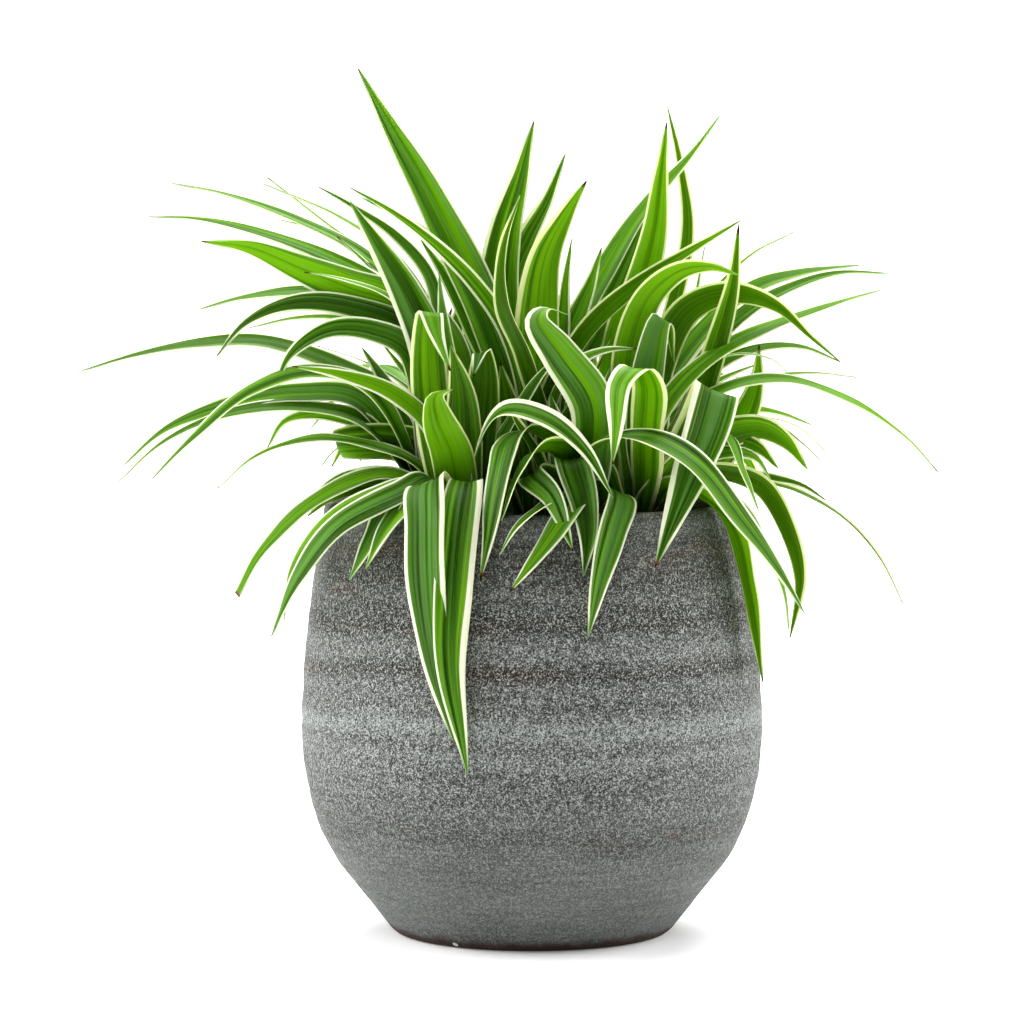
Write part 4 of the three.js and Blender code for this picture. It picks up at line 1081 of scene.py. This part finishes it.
def build_soil():
    def radius_at(height):
        return liner_radius(height) - LINER_WALL - SOIL_GAP

    edge = radius_at(SOIL_TOP)
    profile = [(0, SOIL_BOTTOM)]
    profile += [(radius_at(height), height) for height in (SOIL_BOTTOM, *SOIL_SIDE_HEIGHTS)]
    profile.append((edge, SOIL_TOP - 1))
    profile += [(edge * (1 - step / SOIL_RINGS), SOIL_TOP) for step in range(1, SOIL_RINGS)]
    profile.append((0, SOIL_TOP))
    body, faces = turned_mesh(profile, SOIL_SIDES)
    vertices = []
    for x, y, z in body:
        on_top = z > (SOIL_TOP - 0.5) * MM
        vertices.append((x, y, soil_height(x / MM, y / MM) * MM if on_top else z))
    draw = random.Random(CRUMB_SEED)
    for _ in range(CRUMBS):
        angle = draw.uniform(0, 2 * math.pi)
        radius = (edge - CRUMB_EDGE) * math.sqrt(draw.random())
        x, y = radius * math.cos(angle), radius * math.sin(angle)
        size = draw.uniform(*CRUMB_RADIUS)
        points, quads = crumb(draw, x, y, soil_height(x, y) + size * CRUMB_RISE, size)
        first = len(vertices)
        vertices += points
        faces += [tuple(first + corner for corner in quad) for quad in quads]
    piece = mesh_object("soil_filling", vertices, faces)
    dress(piece, "potting_soil", soil_material())


# Studio: a pale floor, and soft light from all four sides

AMBIENT_LIGHT = 0.15
FLOOR_HALF_SPAN = 60.0
LIGHTS_AIM_AT = (0.0, 0.0, 0.2)

# Lights: name, the side that it shines from, strength, and its width in degrees
LIGHTS = (
    ("left_light", (-2.0, 0.2, 1.3), 2.1, 40),
    ("right_light", (2.0, 0.5, 1.3), 1.55, 40),
    ("back_light", (0.2, 1.4, 2.4), 2.8, 50),
    ("front_light", (-0.5, -1.6, 2.6), 0.65, 50),
)


def soft_sun(name, place, strength, spread_deg):
    """A broad distant light that shines from the side of place."""
    lamp = bpy.data.lights.new(name, "SUN")
    lamp.energy = strength
    lamp.angle = math.radians(spread_deg)
    thing = add_object(name, lamp)
    thing.location = place
    direction = Vector(LIGHTS_AIM_AT) - thing.location
    thing.rotation_euler = direction.to_track_quat("-Z", "Y").to_euler()


def build_studio():
    corners = ((-1, -1), (1, -1), (1, 1), (-1, 1))
    square = [(x * FLOOR_HALF_SPAN, y * FLOOR_HALF_SPAN, 0) for x, y in corners]
    floor = mesh_object("studio_floor", square, [(0, 1, 2, 3)])
    floor.data.materials.append(floor_material())
    for light in LIGHTS:
        soft_sun(*light)
    world = bpy.data.worlds.new("studio")
    world.use_nodes = True
    tree = world.node_tree
    sky = tree.nodes["Background"]
    sky.inputs["Color"].default_value = (1.0, 1.0, 1.0, 1.0)
    seen = tree.nodes.new("ShaderNodeLightPath").outputs["Is Camera Ray"]
    strength = tree.nodes.new("ShaderNodeMapRange")
    strength.inputs["To Min"].default_value = AMBIENT_LIGHT
    strength.inputs["To Max"].default_value = 1.0
    tree.links.new(seen, strength.inputs["Value"])
    tree.links.new(strength.outputs["Result"], sky.inputs["Strength"])
    bpy.context.scene.world = world
    bpy.context.scene.view_settings.view_transform = "Standard"
    bpy.context.scene.view_settings.look = "High Contrast"


def build_camera():
    lens = bpy.data.cameras.new("camera")
    lens.lens = CAMERA_LENS_MM
    lens.sensor_width = CAMERA_SENSOR_MM
    camera = add_object("camera", lens)
    camera.location = CAMERA_EYE
    camera.rotation_euler = (math.radians(90 - CAMERA_PITCH_DEG), 0.0, 0.0)
    bpy.context.scene.camera = camera


build_camera()
build_studio()
build_pot()
build_liner()
build_soil()
green_leaf = leaf_material()
for number, crown in enumerate(CROWNS):
    build_crown(crown, number, green_leaf)
